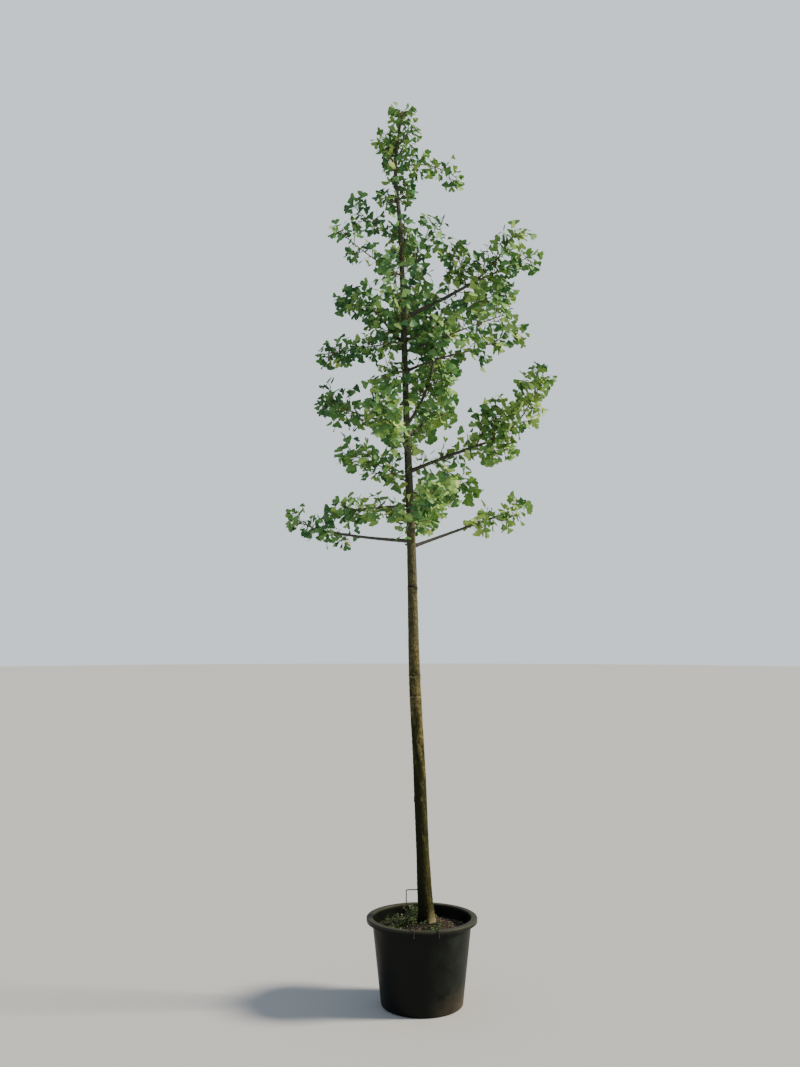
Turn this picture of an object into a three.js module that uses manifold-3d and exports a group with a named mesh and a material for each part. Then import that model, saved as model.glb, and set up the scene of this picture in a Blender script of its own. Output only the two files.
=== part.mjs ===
import * as THREE from 'three';
import { mergeVertices } from 'three/addons/utils/BufferGeometryUtils.js';
import Module from 'manifold-3d';

const wasm = await Module();
wasm.setup();

// A young maidenhair tree standing in a round nursery pot.
// Millimetres, +Z up, origin at the middle of the pot's flat underside.
// Bearings are in degrees about +Z: 0 is +X (right), 90 is +Y (away), 180 left, 270 towards the front.
// Rises are in degrees above the level.

const clearance = 0.3; // between pieces that touch on the real plant
const leastEdge = 0.05; // shorter edges are merged away

const pot = {
  height: 385,
  lipRadius: 250, // outside of the rolled lip
  lipDrop: 18, // how far the lip hangs down outside
  lipRounding: 5,
  wallTopRadius: 224, // outside of the wall, under the lip
  footRadius: 184, // outside of the wall, carried down to the underside
  footRounding: 12,
  wall: 3,
  sides: 24,
};

const handle = {
  wire: 5, // diameter
  width: 108, // between the middles of the two legs
  legReach: 248, // legs stand this far out, just outside the lip
  holeHeight: 356, // the wire's ends go through the wall here, under the lip
  holeRadius: 3.2,
  holeSides: 8,
  drillLength: 40,
  drillInset: 8, // the middle of the drilled length lies this far inside the wall's face
  endInside: 14, // length of wire inside the wall
  bend: 7, // size of each rounded corner
  backBearing: 93.5,
  frontBearing: 273.5,
  raisedTop: 442, // height of the bar of the raised handle
  foldedTop: 400, // height of the bar of the handle that is folded inwards
  foldedReach: 192, // and how far from the pot's axis that bar lies
  sides: 5,
  steps: 28,
};

const soil = {
  wallHeight: 330, // surface of the root ball where it meets the wall
  footHeight: 360, // and where the trunk comes out of it
  footRadius: 70, // half the width of the level middle
};

// The trunk's stations: height, offset to the right, offset away from the front, diameter.
const trunkStations = [
  { height: 360, right: 21, away: 0, thick: 82 },
  { height: 420, right: 17, away: -2, thick: 71 },
  { height: 650, right: 5, away: -4, thick: 59 },
  { height: 1050, right: -11, away: -6, thick: 56 },
  { height: 1440, right: -31, away: -4, thick: 53 },
  { height: 2060, right: -46, away: 2, thick: 41 },
  { height: 2750, right: -71, away: 6, thick: 30 },
  { height: 3280, right: -86, away: 2, thick: 25 },
  { height: 3600, right: -100, away: 0, thick: 21 },
  { height: 3870, right: -121, away: -2, thick: 17 },
  { height: 4030, right: -106, away: 0, thick: 12 },
  { height: 4130, right: -88, away: 2, thick: 7 },
];
const trunkSides = 12;
const trunkSteps = 28;
const rootLobes = 5;
const rootLobeDepth = 0.07; // share of the radius at the foot
const rootLobeFade = 60; // height over which the lobes die away

// Boughs: height and bearing where each leaves the trunk, its length, its rise at the start and at
// the end, and its thickness at both ends.
const boughs = [
  { name: 'leader_shoot', height: 3215, bearing: 350, length: 285, rise: [62, 90], thick: [10, 7] },
  { name: 'right_high', height: 3140, bearing: 352, length: 355, rise: [22, 29], thick: [19, 13] },
  { name: 'right_back_high', height: 3024, bearing: 25, length: 330, rise: [28, 34], thick: [14, 10] },
  { name: 'right_front_high', height: 2977, bearing: 315, length: 300, rise: [5, 6], thick: [12, 8] },
  { name: 'right_middle', height: 2881, bearing: 12, length: 260, rise: [28, 16], thick: [13, 8] },
  { name: 'steep', height: 2629, bearing: 330, length: 330, rise: [46, 82], thick: [15, 9] },
  { name: 'right_long', height: 2407, bearing: 348, length: 365, rise: [21, 17], thick: [18, 12] },
  { name: 'right_lowest', height: 2055, bearing: 15, length: 470, rise: [20, 20], thick: [16, 9] },
  { name: 'left_lowest', height: 2083, bearing: 172, length: 455, rise: [3, 12], thick: [17, 8] },
  { name: 'left_low', height: 2247, bearing: 150, length: 185, rise: [3, -3], thick: [11, 8] },
  { name: 'left_middle', height: 2629, bearing: 165, length: 230, rise: [11, 18], thick: [12, 8] },
  { name: 'left_rising', height: 3010, bearing: 145, length: 225, rise: [44, 54], thick: [14, 9] },
  { name: 'front_high', height: 3075, bearing: 262, length: 170, rise: [30, 34], thick: [13, 8] },
  { name: 'back_high', height: 3095, bearing: 82, length: 230, rise: [32, 30], thick: [15, 9] },
  { name: 'front_middle', height: 2490, bearing: 256, length: 230, rise: [24, 18], thick: [14, 9] },
  { name: 'back_middle', height: 2565, bearing: 66, length: 270, rise: [26, 28], thick: [15, 9] },
  { name: 'front_low', height: 2165, bearing: 285, length: 250, rise: [14, 18], thick: [13, 8] },
  { name: 'back_low', height: 2150, bearing: 76, length: 300, rise: [16, 20], thick: [14, 8] },
];
const boughSides = 6;
const boughSteps = 5;
const limbStretches = 6; // straight stretches that a limb's line is drawn through
const limbPoints = 8; // stretches of a limb's line when distances to it are taken
const trunkHalvings = 20; // times the search for a height on the trunk's line is halved
const collarSwell = 0.45; // a bough is this much thicker where it leaves the trunk
const collarLength = 26;

// Foliage masses. Each grows from one stem. It starts at a bough's tip (bough), beside the tip's
// middle where two share it (fork) or on the bough's side shortly before it (back), or else at the
// trunk (height).
// spread is the length of its longest twigs, and leaves the number of leaves wanted.
const masses = [
  { name: 'tip', height: 4105, bearing: 30, length: 34, rise: [80, 84], spread: 40, leaves: 6 },
  { name: 'tip_right', height: 3905, bearing: 345, length: 200, rise: [54, 86], spread: 54, leaves: 12 },
  { name: 'tip_left', height: 3880, bearing: 165, length: 160, rise: [58, 86], spread: 52, leaves: 11 },
  { name: 'right_top', height: 3862, bearing: 18, length: 315, rise: [30, -28], spread: 48, leaves: 11 },
  { name: 'spur_left', height: 3700, bearing: 186, length: 62, rise: [12, 40], spread: 48, leaves: 6 },
  { name: 'spur_right', height: 3735, bearing: 20, length: 50, rise: [15, 40], spread: 50, leaves: 6 },
  { name: 'left_top', height: 3517, bearing: 162, length: 300, rise: [28, 50], spread: 64, leaves: 12 },
  { name: 'left_upper', height: 3340, bearing: 198, length: 365, rise: [24, 38], spread: 66, leaves: 13 },
  { name: 'front_top', height: 3385, bearing: 274, length: 210, rise: [34, 56], spread: 74, leaves: 9 },
  { name: 'back_top', height: 3440, bearing: 86, length: 240, rise: [30, 50], spread: 78, leaves: 9 },
  { name: 'leader_shoot', bough: 'leader_shoot',
    bearing: 8, length: 150, rise: [30, 66], spread: 74, leaves: 9 },
  { name: 'right_high_outer', bough: 'right_high', fork: -1,
    bearing: 350, length: 320, rise: [34, 64], spread: 84, leaves: 15 },
  { name: 'right_high_fork', bough: 'right_high', fork: 1,
    bearing: 8, length: 330, rise: [24, 30], spread: 74, leaves: 11 },
  { name: 'right_high_inner', bough: 'right_high', back: 30,
    bearing: 178, length: 190, rise: [86, 58], spread: 78, leaves: 9 },
  { name: 'right_back_high', bough: 'right_back_high',
    bearing: 27, length: 330, rise: [34, 22], spread: 84, leaves: 12 },
  { name: 'right_front_high', bough: 'right_front_high',
    bearing: 318, length: 290, rise: [8, 4], spread: 90, leaves: 12 },
  { name: 'right_middle', bough: 'right_middle',
    bearing: 12, length: 345, rise: [12, 38], spread: 84, leaves: 13 },
  { name: 'steep', bough: 'steep',
    bearing: 330, length: 130, rise: [84, 80], spread: 92, leaves: 9 },
  { name: 'steep_side', height: 2715, bearing: 318, length: 265, rise: [22, 34], spread: 92, leaves: 11 },
  { name: 'right_long_outer', bough: 'right_long',
    bearing: 349, length: 446, rise: [14, 88], spread: 80, leaves: 17 },
  { name: 'right_long_inner', bough: 'right_long', back: 30,
    bearing: 10, length: 215, rise: [64, 46], spread: 82, leaves: 10 },
  { name: 'right_long_under', bough: 'right_long', back: 50,
    bearing: 330, length: 170, rise: [-14, -4], spread: 66, leaves: 7 },
  { name: 'right_low', height: 2275, bearing: 36, length: 370, rise: [26, 6], spread: 92, leaves: 12 },
  { name: 'right_lowest', bough: 'right_lowest',
    bearing: 12, length: 105, rise: [20, 24], spread: 70, leaves: 7 },
  { name: 'left_lowest', bough: 'left_lowest',
    bearing: 172, length: 120, rise: [20, 34], spread: 70, leaves: 7 },
  { name: 'left_low', bough: 'left_low',
    bearing: 152, length: 225, rise: [2, -6], spread: 88, leaves: 11 },
  { name: 'left_short', height: 2352, bearing: 206, length: 335, rise: [32, 8], spread: 88, leaves: 10 },
  { name: 'left_middle', bough: 'left_middle',
    bearing: 165, length: 185, rise: [20, 26], spread: 94, leaves: 11 },
  { name: 'left_side', height: 2881, bearing: 232, length: 190, rise: [-4, -40], spread: 62, leaves: 7 },
  { name: 'left_drooping', height: 3029, bearing: 190, length: 375, rise: [-12, -12], spread: 64, leaves: 9 },
  { name: 'left_rising', bough: 'left_rising',
    bearing: 150, length: 235, rise: [46, 8], spread: 90, leaves: 12 },
  { name: 'front_high', bough: 'front_high',
    bearing: 262, length: 240, rise: [24, 30], spread: 92, leaves: 11 },
  { name: 'back_high', bough: 'back_high',
    bearing: 82, length: 280, rise: [26, 40], spread: 92, leaves: 12 },
  { name: 'front_middle', bough: 'front_middle',
    bearing: 256, length: 240, rise: [22, 20], spread: 92, leaves: 10 },
  { name: 'back_middle', bough: 'back_middle',
    bearing: 66, length: 260, rise: [26, 30], spread: 92, leaves: 11 },
  { name: 'front_low', bough: 'front_low',
    bearing: 285, length: 215, rise: [16, 12], spread: 88, leaves: 9 },
  { name: 'back_low', bough: 'back_low',
    bearing: 76, length: 220, rise: [18, 14], spread: 88, leaves: 9 },
];
const stemThick = [7, 3.5]; // stem's diameter at its start and at its tip
const twigThick = [4.6, 2.6];
const stemSides = 3; // of stems and twigs
const leafLength = [74, 96]; // smallest and largest leaf in a wide mass
const wideSpread = 84; // a narrower mass has smaller leaves, down to the least share
const leastLeafShare = 0.75;
const leafThick = 2.6;
const leafForm = { tip: 0.96, shoulder: 0.74, halfWidth: 0.52, middle: 0.6 }; // shares of its length
const leafDroop = [0.2, 0.5]; // least and most that a leaf is turned down
const leafLean = [0.45, 0.85]; // how far it follows its twig
const leafUpturn = [0.35, 1.35]; // and how far it faces up
const leafApart = 12; // least distance between the tested points of two leaves
const twigApart = 5; // least distance from a leaf to a twig that is not its own
const leavesPerTwig = 3.6;
const leafTries = 5; // directions tried at each spot
const sideLeaves = [[0.78, 80], [0.6, -75], [0.42, 170]]; // place along a twig, and turn about it
const sideLeafStray = 30; // degrees that such a turn varies
const twigEndLeaf = { place: 0.97, swing: 0.3 }; // the last leaf of a twig, and how far it swings out
const stemEndLeaf = { place: 0.99, swing: 0.4 }; // the same for the stem
const stemStep = 80; // length of one straight stretch of a stem
const stemSeat = 5; // a stem starts this far inside its bough's tip, and is cut clear of it
const forkWidth = 5.4; // between the tip's middle and a forked stem
const goldenTurn = 137.5; // degrees from one twig to the next round the stem
const twigStray = 40; // degrees that this turn varies
const twigLean = 58; // degrees between a twig and its stem
const twigSpan = [0.1, 0.96]; // stretch of the stem that carries twigs
const twigTaper = 0.4; // share by which a twig at the stem's tip is shorter than one at its start
const twigVariation = [0.75, 1.1];
const twigLift = 0.2; // how far a twig's end is lifted, as a share of its length
const twigTests = [0.35, 0.6, 0.8, 1]; // places along a twig that have to be free
const spaceMargin = 1.5; // kept on each side of the border between two masses
const trunkMargin = 4; // kept clear of the trunk
const upward = new THREE.Vector3(0, 0, 1);

const finishes = {
  pot: { color: 0x1f2224, roughness: 0.55, metalness: 0 },
  wire: { color: 0x2a2a2b, roughness: 0.5, metalness: 0.6 },
  soil: { color: 0x2e261d, roughness: 1, metalness: 0 },
  bark: { color: 0x6b5a3c, roughness: 0.9, metalness: 0 },
  twigs: { color: 0x4f4a38, roughness: 0.9, metalness: 0 },
  leaves: { color: 0x5f8a35, roughness: 0.6, metalness: 0 },
};

const tree = new THREE.Group();
const materials = {};
for (const [name, finish] of Object.entries(finishes)) {
  materials[name] = new THREE.MeshStandardMaterial({ name, ...finish });
}

// Solids and meshes

function solidOf(geometry) {
  geometry.deleteAttribute('normal');
  geometry.deleteAttribute('uv');
  const merged = mergeVertices(geometry, 1e-4);
  const corners = merged.attributes.position.array;
  const index = merged.index.array;
  const faces = [];
  let volume = 0;
  for (let i = 0; i < index.length; i += 3) {
    const [a, b, c] = index.slice(i, i + 3);
    if (a === b || b === c || c === a) continue;
    faces.push(a, b, c);
    const [p, q, r] = [a, b, c].map((k) => new THREE.Vector3().fromArray(corners, 3 * k));
    volume += p.dot(q.cross(r));
  }
  if (volume < 0) faces.reverse();
  return new wasm.Manifold(
    new wasm.Mesh({
      numProp: 3,
      vertProperties: Float32Array.from(corners),
      triVerts: Uint32Array.from(faces),
    }),
  );
}

function addMesh(name, solid, material) {
  const { vertProperties, triVerts } = solid.getMesh();
  const geometry = new THREE.BufferGeometry();
  geometry.setAttribute('position', new THREE.BufferAttribute(vertProperties, 3));
  geometry.setIndex(new THREE.BufferAttribute(triVerts, 1));
  geometry.computeVertexNormals();
  const mesh = new THREE.Mesh(geometry, material);
  mesh.name = name;
  tree.add(mesh);
}

// The largest body of a join or cut, without loose scraps and edges too short to matter.
function largestBody(solid) {
  const bodies = solid.simplify(leastEdge).decompose();
  return bodies.reduce((best, body) => (body.volume() > best.volume() ? body : best));
}

// A profile of radius and height pairs turned about the upright axis.
function turned(profile, sides) {
  const points = profile.map(([radius, height]) => new THREE.Vector2(radius, height));
  return solidOf(new THREE.LatheGeometry(points, sides).rotateX(Math.PI / 2));
}

// Quarter of a circle in the profile, from one angle to another, in degrees.
function arc(middleRadius, middleHeight, size, fromAngle, toAngle, steps) {
  return Array.from({ length: steps + 1 }, (_, i) => {
    const angle = THREE.MathUtils.degToRad(fromAngle + ((toAngle - fromAngle) * i) / steps);
    return [middleRadius + size * Math.cos(angle), middleHeight + size * Math.sin(angle)];
  });
}

// Pot, root ball and wire handles

function wallRadius(height) {
  const share = height / (pot.height - pot.lipDrop);
  return pot.footRadius + (pot.wallTopRadius - pot.footRadius) * share;
}

const footMiddle = wallRadius(pot.footRounding) - pot.footRounding;

function potSolid() {
  const top = pot.height;
  const lip = pot.lipRadius;
  const inside = pot.wallTopRadius - pot.wall;
  return turned(
    [
      [0, 0],
      ...arc(footMiddle, pot.footRounding, pot.footRounding, -90, 0, 3),
      [pot.wallTopRadius, top - pot.lipDrop],
      [pot.wallTopRadius, top - pot.wall],
      [lip - pot.wall, top - pot.wall],
      [lip - pot.wall, top - pot.lipDrop],
      [lip, top - pot.lipDrop],
      ...arc(lip - pot.lipRounding, top - pot.lipRounding, pot.lipRounding, 0, 90, 2),
      ...arc(inside + pot.lipRounding, top - pot.lipRounding, pot.lipRounding, 90, 180, 2),
      [wallRadius(soil.wallHeight) - pot.wall, soil.wallHeight],
      ...arc(footMiddle, pot.footRounding, pot.footRounding - pot.wall, 0, -90, 2),
      [0, pot.wall],
    ],
    pot.sides,
  );
}

function rootBallSolid() {
  const inset = pot.wall + clearance;
  const edge = wallRadius(soil.wallHeight) - inset;
  const top = soil.footHeight - clearance;
  const steps = 3;
  const dome = Array.from({ length: steps + 1 }, (_, i) => {
    const share = i / steps;
    const fall = Math.cos((share * Math.PI) / 2);
    return [edge + (soil.footRadius - edge) * share, top - (top - soil.wallHeight) * fall];
  });
  return turned(
    [
      [0, inset],
      ...arc(footMiddle, pot.footRounding, pot.footRounding - inset, -90, 0, 2),
      ...dome,
      [0, top],
    ],
    pot.sides,
  );
}

// A point beside the pot: along the rim, out from the axis, and up, for a handle at a bearing.
function besideRim(bearing, along, out, up) {
  const turn = THREE.MathUtils.degToRad(bearing);
  return new THREE.Vector3(
    out * Math.cos(turn) - along * Math.sin(turn),
    out * Math.sin(turn) + along * Math.cos(turn),
    up,
  );
}

// One leg's corners, from the end inside the wall to the middle of the bar.
function legCorners(folded) {
  const half = handle.width / 2;
  const hole = handle.holeHeight;
  const end = wallRadius(hole) - pot.wall - handle.endInside;
  const corners = [
    [half, end, hole],
    [half, handle.legReach, hole],
  ];
  if (folded) {
    corners.push([half, handle.legReach, pot.height + handle.wire]);
    corners.push([half, handle.foldedReach, handle.foldedTop]);
  } else {
    corners.push([half, handle.legReach, handle.raisedTop]);
  }
  return corners;
}

function handleSolid(bearing, folded) {
  const leg = legCorners(folded);
  const other = leg.map(([along, out, up]) => [-along, out, up]).reverse();
  const corners = [...leg, ...other].map((corner) => besideRim(bearing, ...corner));
  const path = new THREE.CurvePath();
  let from = corners[0];
  for (let i = 1; i < corners.length - 1; i += 1) {
    const before = corners[i].clone().sub(corners[i - 1]).setLength(handle.bend);
    const after = corners[i + 1].clone().sub(corners[i]).setLength(handle.bend);
    const bendStart = corners[i].clone().sub(before);
    const bendEnd = corners[i].clone().add(after);
    path.add(new THREE.LineCurve3(from, bendStart));
    path.add(new THREE.QuadraticBezierCurve3(bendStart, corners[i], bendEnd));
    from = bendEnd;
  }
  path.add(new THREE.LineCurve3(from, corners[corners.length - 1]));
  return tube(path, () => handle.wire / 2, handle.sides, handle.steps);
}

function holeSolids(bearing) {
  return [-1, 1].map((side) => {
    const { holeRadius, drillLength, holeSides, holeHeight } = handle;
    const hole = new THREE.CylinderGeometry(holeRadius, holeRadius, drillLength, holeSides);
    hole.rotateZ(Math.PI / 2).rotateZ(THREE.MathUtils.degToRad(bearing));
    const half = (side * handle.width) / 2;
    const middle = besideRim(bearing, half, wallRadius(holeHeight) - handle.drillInset, holeHeight);
    return solidOf(hole.translate(...middle.toArray()));
  });
}

// Limbs

// A closed tube along a curve, with a radius for each share of its length. Every ring is square to
// the curve, or level where asked.
function tube(curve, radiusAt, sides, steps, level = false) {
  const geometry = new THREE.CylinderGeometry(1, 1, 1, sides, steps);
  const frames = curve.computeFrenetFrames(steps);
  const place = geometry.attributes.position;
  const vertex = new THREE.Vector3();
  for (let i = 0; i < place.count; i += 1) {
    vertex.fromBufferAttribute(place, i);
    const step = Math.round((vertex.y + 0.5) * steps);
    const across = level ? new THREE.Vector3(1, 0, 0) : frames.normals[step];
    const along = level ? new THREE.Vector3(0, 1, 0) : frames.binormals[step];
    const radius = radiusAt(step / steps, Math.atan2(vertex.z, vertex.x));
    const point = curve.getPointAt(step / steps);
    point.addScaledVector(across, vertex.x * radius).addScaledVector(along, vertex.z * radius);
    place.setXYZ(i, ...point.toArray());
  }
  return solidOf(geometry);
}

function heading(bearing, rise) {
  const turn = THREE.MathUtils.degToRad(bearing);
  const lift = THREE.MathUtils.degToRad(rise);
  const level = Math.cos(lift);
  return new THREE.Vector3(level * Math.cos(turn), level * Math.sin(turn), Math.sin(lift));
}

// A limb's line: it keeps its bearing while its rise goes evenly from the first to the second.
function limbCurve(start, bearing, rise, length) {
  const points = [start.clone()];
  for (let i = 0; i < limbStretches; i += 1) {
    const lift = THREE.MathUtils.lerp(rise[0], rise[1], (i + 0.5) / limbStretches);
    points.push(points[i].clone().addScaledVector(heading(bearing, lift), length / limbStretches));
  }
  return new THREE.CatmullRomCurve3(points);
}

const trunkLine = new THREE.CatmullRomCurve3(
  trunkStations.map(({ height, right, away }) => new THREE.Vector3(right, away, height)),
);
const trunkFoot = trunkStations[0].height;

function trunkThickness(height) {
  const next = trunkStations.findIndex((station) => station.height >= height);
  if (next < 1) return trunkStations.at(next).thick;
  const [low, high] = [trunkStations[next - 1], trunkStations[next]];
  const share = (height - low.height) / (high.height - low.height);
  return THREE.MathUtils.lerp(low.thick, high.thick, share);
}

function trunkPoint(height) {
  let [low, high] = [0, 1];
  for (let i = 0; i < trunkHalvings; i += 1) {
    const middle = (low + high) / 2;
    if (trunkLine.getPointAt(middle).z < height) low = middle;
    else high = middle;
  }
  return trunkLine.getPointAt(low);
}

function trunkSolid(extra) {
  const radiusAt = (share, turn) => {
    const height = trunkLine.getPointAt(share).z;
    const fade = Math.exp(-(height - trunkFoot) / rootLobeFade);
    const lobes = 1 + rootLobeDepth * fade * Math.cos(rootLobes * turn);
    return (trunkThickness(height) / 2) * lobes + extra;
  };
  return tube(trunkLine, radiusAt, trunkSides, trunkSteps, true);
}

function boughRadius(bough, share) {
  const plain = THREE.MathUtils.lerp(bough.thick[0], bough.thick[1], share) / 2;
  return plain * (1 + collarSwell * Math.exp((-share * bough.length) / collarLength));
}

for (const bough of boughs) {
  const start = trunkPoint(bough.height);
  bough.curve = limbCurve(start, bough.bearing, bough.rise, bough.length);
  bough.solid = (extra) => {
    const curve = limbCurve(start, bough.bearing, bough.rise, bough.length + extra);
    return tube(curve, (share) => boughRadius(bough, share) + extra, boughSides, boughSteps);
  };
}

for (const mass of masses) {
  mass.carrier = boughs.find(({ name }) => name === mass.bough);
  let start;
  if (mass.carrier) {
    const share = 1 - (mass.back ?? stemSeat) / mass.carrier.length;
    const aside = mass.carrier.curve.getTangentAt(share).cross(upward).normalize();
    start = mass.carrier.curve.getPointAt(share);
    start.addScaledVector(aside, (mass.fork ?? 0) * forkWidth);
  } else {
    start = trunkPoint(mass.height);
  }
  mass.curve = limbCurve(start, mass.bearing, mass.rise, mass.length);
  mass.line = mass.curve.getSpacedPoints(limbPoints);
}

// Spaces: a point belongs to the mass whose stem is nearest, and has to be clear of every limb.

function distanceToLine(point, line) {
  const nearest = new THREE.Vector3();
  const segment = new THREE.Line3();
  let least = Infinity;
  for (let i = 0; i < line.length - 1; i += 1) {
    segment.set(line[i], line[i + 1]).closestPointToPoint(point, true, nearest);
    least = Math.min(least, nearest.distanceTo(point));
  }
  return least;
}

const limbs = boughs.map((bough) => ({
  line: bough.curve.getSpacedPoints(limbPoints),
  radius: (bough.thick[0] / 2) * (1 + collarSwell),
}));

function isFree(point, mass) {
  const own = distanceToLine(point, mass.line);
  const fromTrunk = point.distanceTo(trunkPoint(point.z)) - trunkThickness(point.z) / 2;
  if (fromTrunk < trunkMargin || point.z < trunkFoot) return false;
  const nearLimb = ({ line, radius }) => distanceToLine(point, line) < radius + spaceMargin;
  if (limbs.some(nearLimb)) return false;
  return masses.every(
    (other) => other === mass || distanceToLine(point, other.line) > own + 2 * spaceMargin,
  );
}

// Foliage

function seeded(seed) {
  let state = seed * 7919 + 17;
  return () => {
    state = (state + 0x6d2b79f5) | 0;
    let mixed = Math.imul(state ^ (state >>> 15), 1 | state);
    mixed = (mixed + Math.imul(mixed ^ (mixed >>> 7), 61 | mixed)) ^ mixed;
    return ((mixed ^ (mixed >>> 14)) >>> 0) / 4294967296;
  };
}

// A fan leaf: a narrow root, two shoulders well forward, and a tip between them.
function leafCorners(root, ahead, facing, size) {
  const across = facing.clone().cross(ahead).normalize();
  const normal = ahead.clone().cross(across).normalize();
  const at = (forward, sideways, up) =>
    root
      .clone()
      .addScaledVector(ahead, forward * size)
      .addScaledVector(across, sideways * size)
      .addScaledVector(normal, up);
  return {
    tip: at(leafForm.tip, 0, 0),
    root: at(0, 0, 0),
    left: at(leafForm.shoulder, leafForm.halfWidth, 0),
    right: at(leafForm.shoulder, -leafForm.halfWidth, 0),
    upper: at(leafForm.middle, 0, leafThick / 2),
    lower: at(leafForm.middle, 0, -leafThick / 2),
  };
}

// Points of a leaf that have to be free: its outline, and its middle.
function leafTests({ root, tip, left, right }) {
  const sides = [left, right];
  return [
    tip,
    ...sides,
    root.clone().lerp(tip, leafForm.middle),
    ...sides.map((side) => root.clone().lerp(side, leafForm.middle)),
    ...sides.map((side) => tip.clone().lerp(side, 0.5)),
  ];
}

function leafSolid(corners) {
  const names = ['tip', 'root', 'left', 'right', 'upper', 'lower'];
  const blade = new THREE.OctahedronGeometry(1);
  const place = blade.attributes.position;
  for (let i = 0; i < place.count; i += 1) {
    const signs = [place.getX(i), place.getY(i), place.getZ(i)];
    const axis = signs.findIndex((value) => Math.abs(value) > 0.5);
    const corner = corners[names[2 * axis + (signs[axis] > 0 ? 0 : 1)]];
    place.setXYZ(i, ...corner.toArray());
  }
  return solidOf(blade);
}

// Twigs leave the stem by the golden turn, each shorter than the last. Leaves stand at a twig's
// end and along its sides, and at the stem's tip. What would leave the mass's space, touch a limb
// or run into an earlier leaf or twig is skipped.
function massSolid(mass, seed, trunkCut) {
  const random = seeded(seed);
  const between = ([low, high]) => low + (high - low) * random();
  const leafShare = THREE.MathUtils.clamp(mass.spread / wideSpread, leastLeafShare, 1);
  const stemRadius = (share) => THREE.MathUtils.lerp(stemThick[0], stemThick[1], share) / 2;
  const stemSteps = Math.max(2, Math.round(mass.length / stemStep));
  const pieces = [tube(mass.curve, stemRadius, stemSides, stemSteps)];
  const twigLines = [mass.line];
  const leafPoints = [];
  let leafCount = 0;

  function keepsApart(points, ownLine) {
    const others = twigLines.filter((line) => line !== ownLine);
    return points.every(
      (point) =>
        leafPoints.every((old) => old.distanceTo(point) > leafApart) &&
        others.every((line) => distanceToLine(point, line) > twigApart),
    );
  }

  function tryLeaf(root, along, outward, ownLine) {
    for (let i = 0; i < leafTries && leafCount < mass.leaves; i += 1) {
      const size = between(leafLength) * leafShare;
      const stray = new THREE.Vector3(random() - 0.5, random() - 0.5, -between(leafDroop));
      const ahead = outward.clone().addScaledVector(along, between(leafLean)).add(stray).normalize();
      const facing = new THREE.Vector3(random() - 0.5, random() - 0.5, between(leafUpturn)).normalize();
      const corners = leafCorners(root, ahead, facing, size);
      const points = leafTests(corners);
      if (points.every((point) => isFree(point, mass)) && keepsApart(points, ownLine)) {
        leafPoints.push(...points);
        pieces.push(leafSolid(corners));
        leafCount += 1;
        return;
      }
    }
  }

  const twigCount = Math.max(3, Math.round(mass.leaves / leavesPerTwig));
  for (let i = 0; i < twigCount; i += 1) {
    const share = THREE.MathUtils.lerp(...twigSpan, (i + 0.5) / twigCount);
    const base = mass.curve.getPointAt(share);
    const ahead = mass.curve.getTangentAt(share);
    const level = ahead.clone().cross(new THREE.Vector3(0.1, 0.2, 1)).normalize();
    const turn = THREE.MathUtils.degToRad(i * goldenTurn + twigStray * (random() - 0.5));
    const outward = level.applyAxisAngle(ahead, turn);
    const lean = THREE.MathUtils.degToRad(twigLean);
    const length = mass.spread * (1 - twigTaper * share) * between(twigVariation);
    const lead = ahead.clone().multiplyScalar(Math.cos(lean)).addScaledVector(outward, Math.sin(lean));
    const end = base.clone().addScaledVector(lead, length).addScaledVector(upward, twigLift * length);
    const twig = new THREE.LineCurve3(base, end);
    const tests = twigTests.map((along) => twig.getPoint(along));
    const line = [base, end];
    if (!tests.every((point) => isFree(point, mass)) || !keepsApart(tests, mass.line)) {
      tryLeaf(base, ahead, outward, mass.line);
      continue;
    }
    const twigRadius = (along) => THREE.MathUtils.lerp(twigThick[0], twigThick[1], along) / 2;
    pieces.push(tube(twig, twigRadius, stemSides, 1));
    twigLines.push(line);
    const axis = end.clone().sub(base).normalize();
    const endSwing = outward.clone().multiplyScalar(twigEndLeaf.swing);
    tryLeaf(twig.getPoint(twigEndLeaf.place), axis, endSwing, line);
    for (const [along, spin] of sideLeaves) {
      const swing = THREE.MathUtils.degToRad(spin + sideLeafStray * (random() - 0.5));
      const aside = axis.clone().cross(outward).normalize().applyAxisAngle(axis, swing);
      tryLeaf(twig.getPoint(along), axis, aside, line);
    }
  }
  const last = mass.curve.getTangentAt(1);
  const lastSwing = last.clone().multiplyScalar(stemEndLeaf.swing);
  tryLeaf(mass.curve.getPointAt(stemEndLeaf.place), last, lastSwing, mass.line);

  const whole = pieces.reduce((sum, piece) => sum.add(piece));
  return largestBody(whole.subtract(mass.carrier ? mass.carrier.solid(clearance) : trunkCut));
}

// The whole plant

let potBody = potSolid();
for (const bearing of [handle.backBearing, handle.frontBearing]) {
  for (const hole of holeSolids(bearing)) potBody = potBody.subtract(hole);
}
addMesh('pot', potBody, materials.pot);
addMesh('root_ball', rootBallSolid(), materials.soil);
addMesh('handle_back', handleSolid(handle.backBearing, false), materials.wire);
addMesh('handle_front', handleSolid(handle.frontBearing, true), materials.wire);
addMesh('trunk', trunkSolid(0), materials.bark);

const trunkCut = trunkSolid(clearance);
for (const bough of boughs) {
  addMesh(`bough_${bough.name}`, largestBody(bough.solid(0).subtract(trunkCut)), materials.twigs);
}
masses.forEach((mass, i) => {
  addMesh(`foliage_${mass.name}`, massSolid(mass, i + 1, trunkCut), materials.leaves);
});

export default tree;
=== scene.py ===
# A young maidenhair tree in a nursery pot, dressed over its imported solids.
# Metres, +Z up. Bearings are in degrees about +Z: 0 is right, 90 away, 180 left, 270 the front.
# Rises are in degrees above the level.
import math

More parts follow.
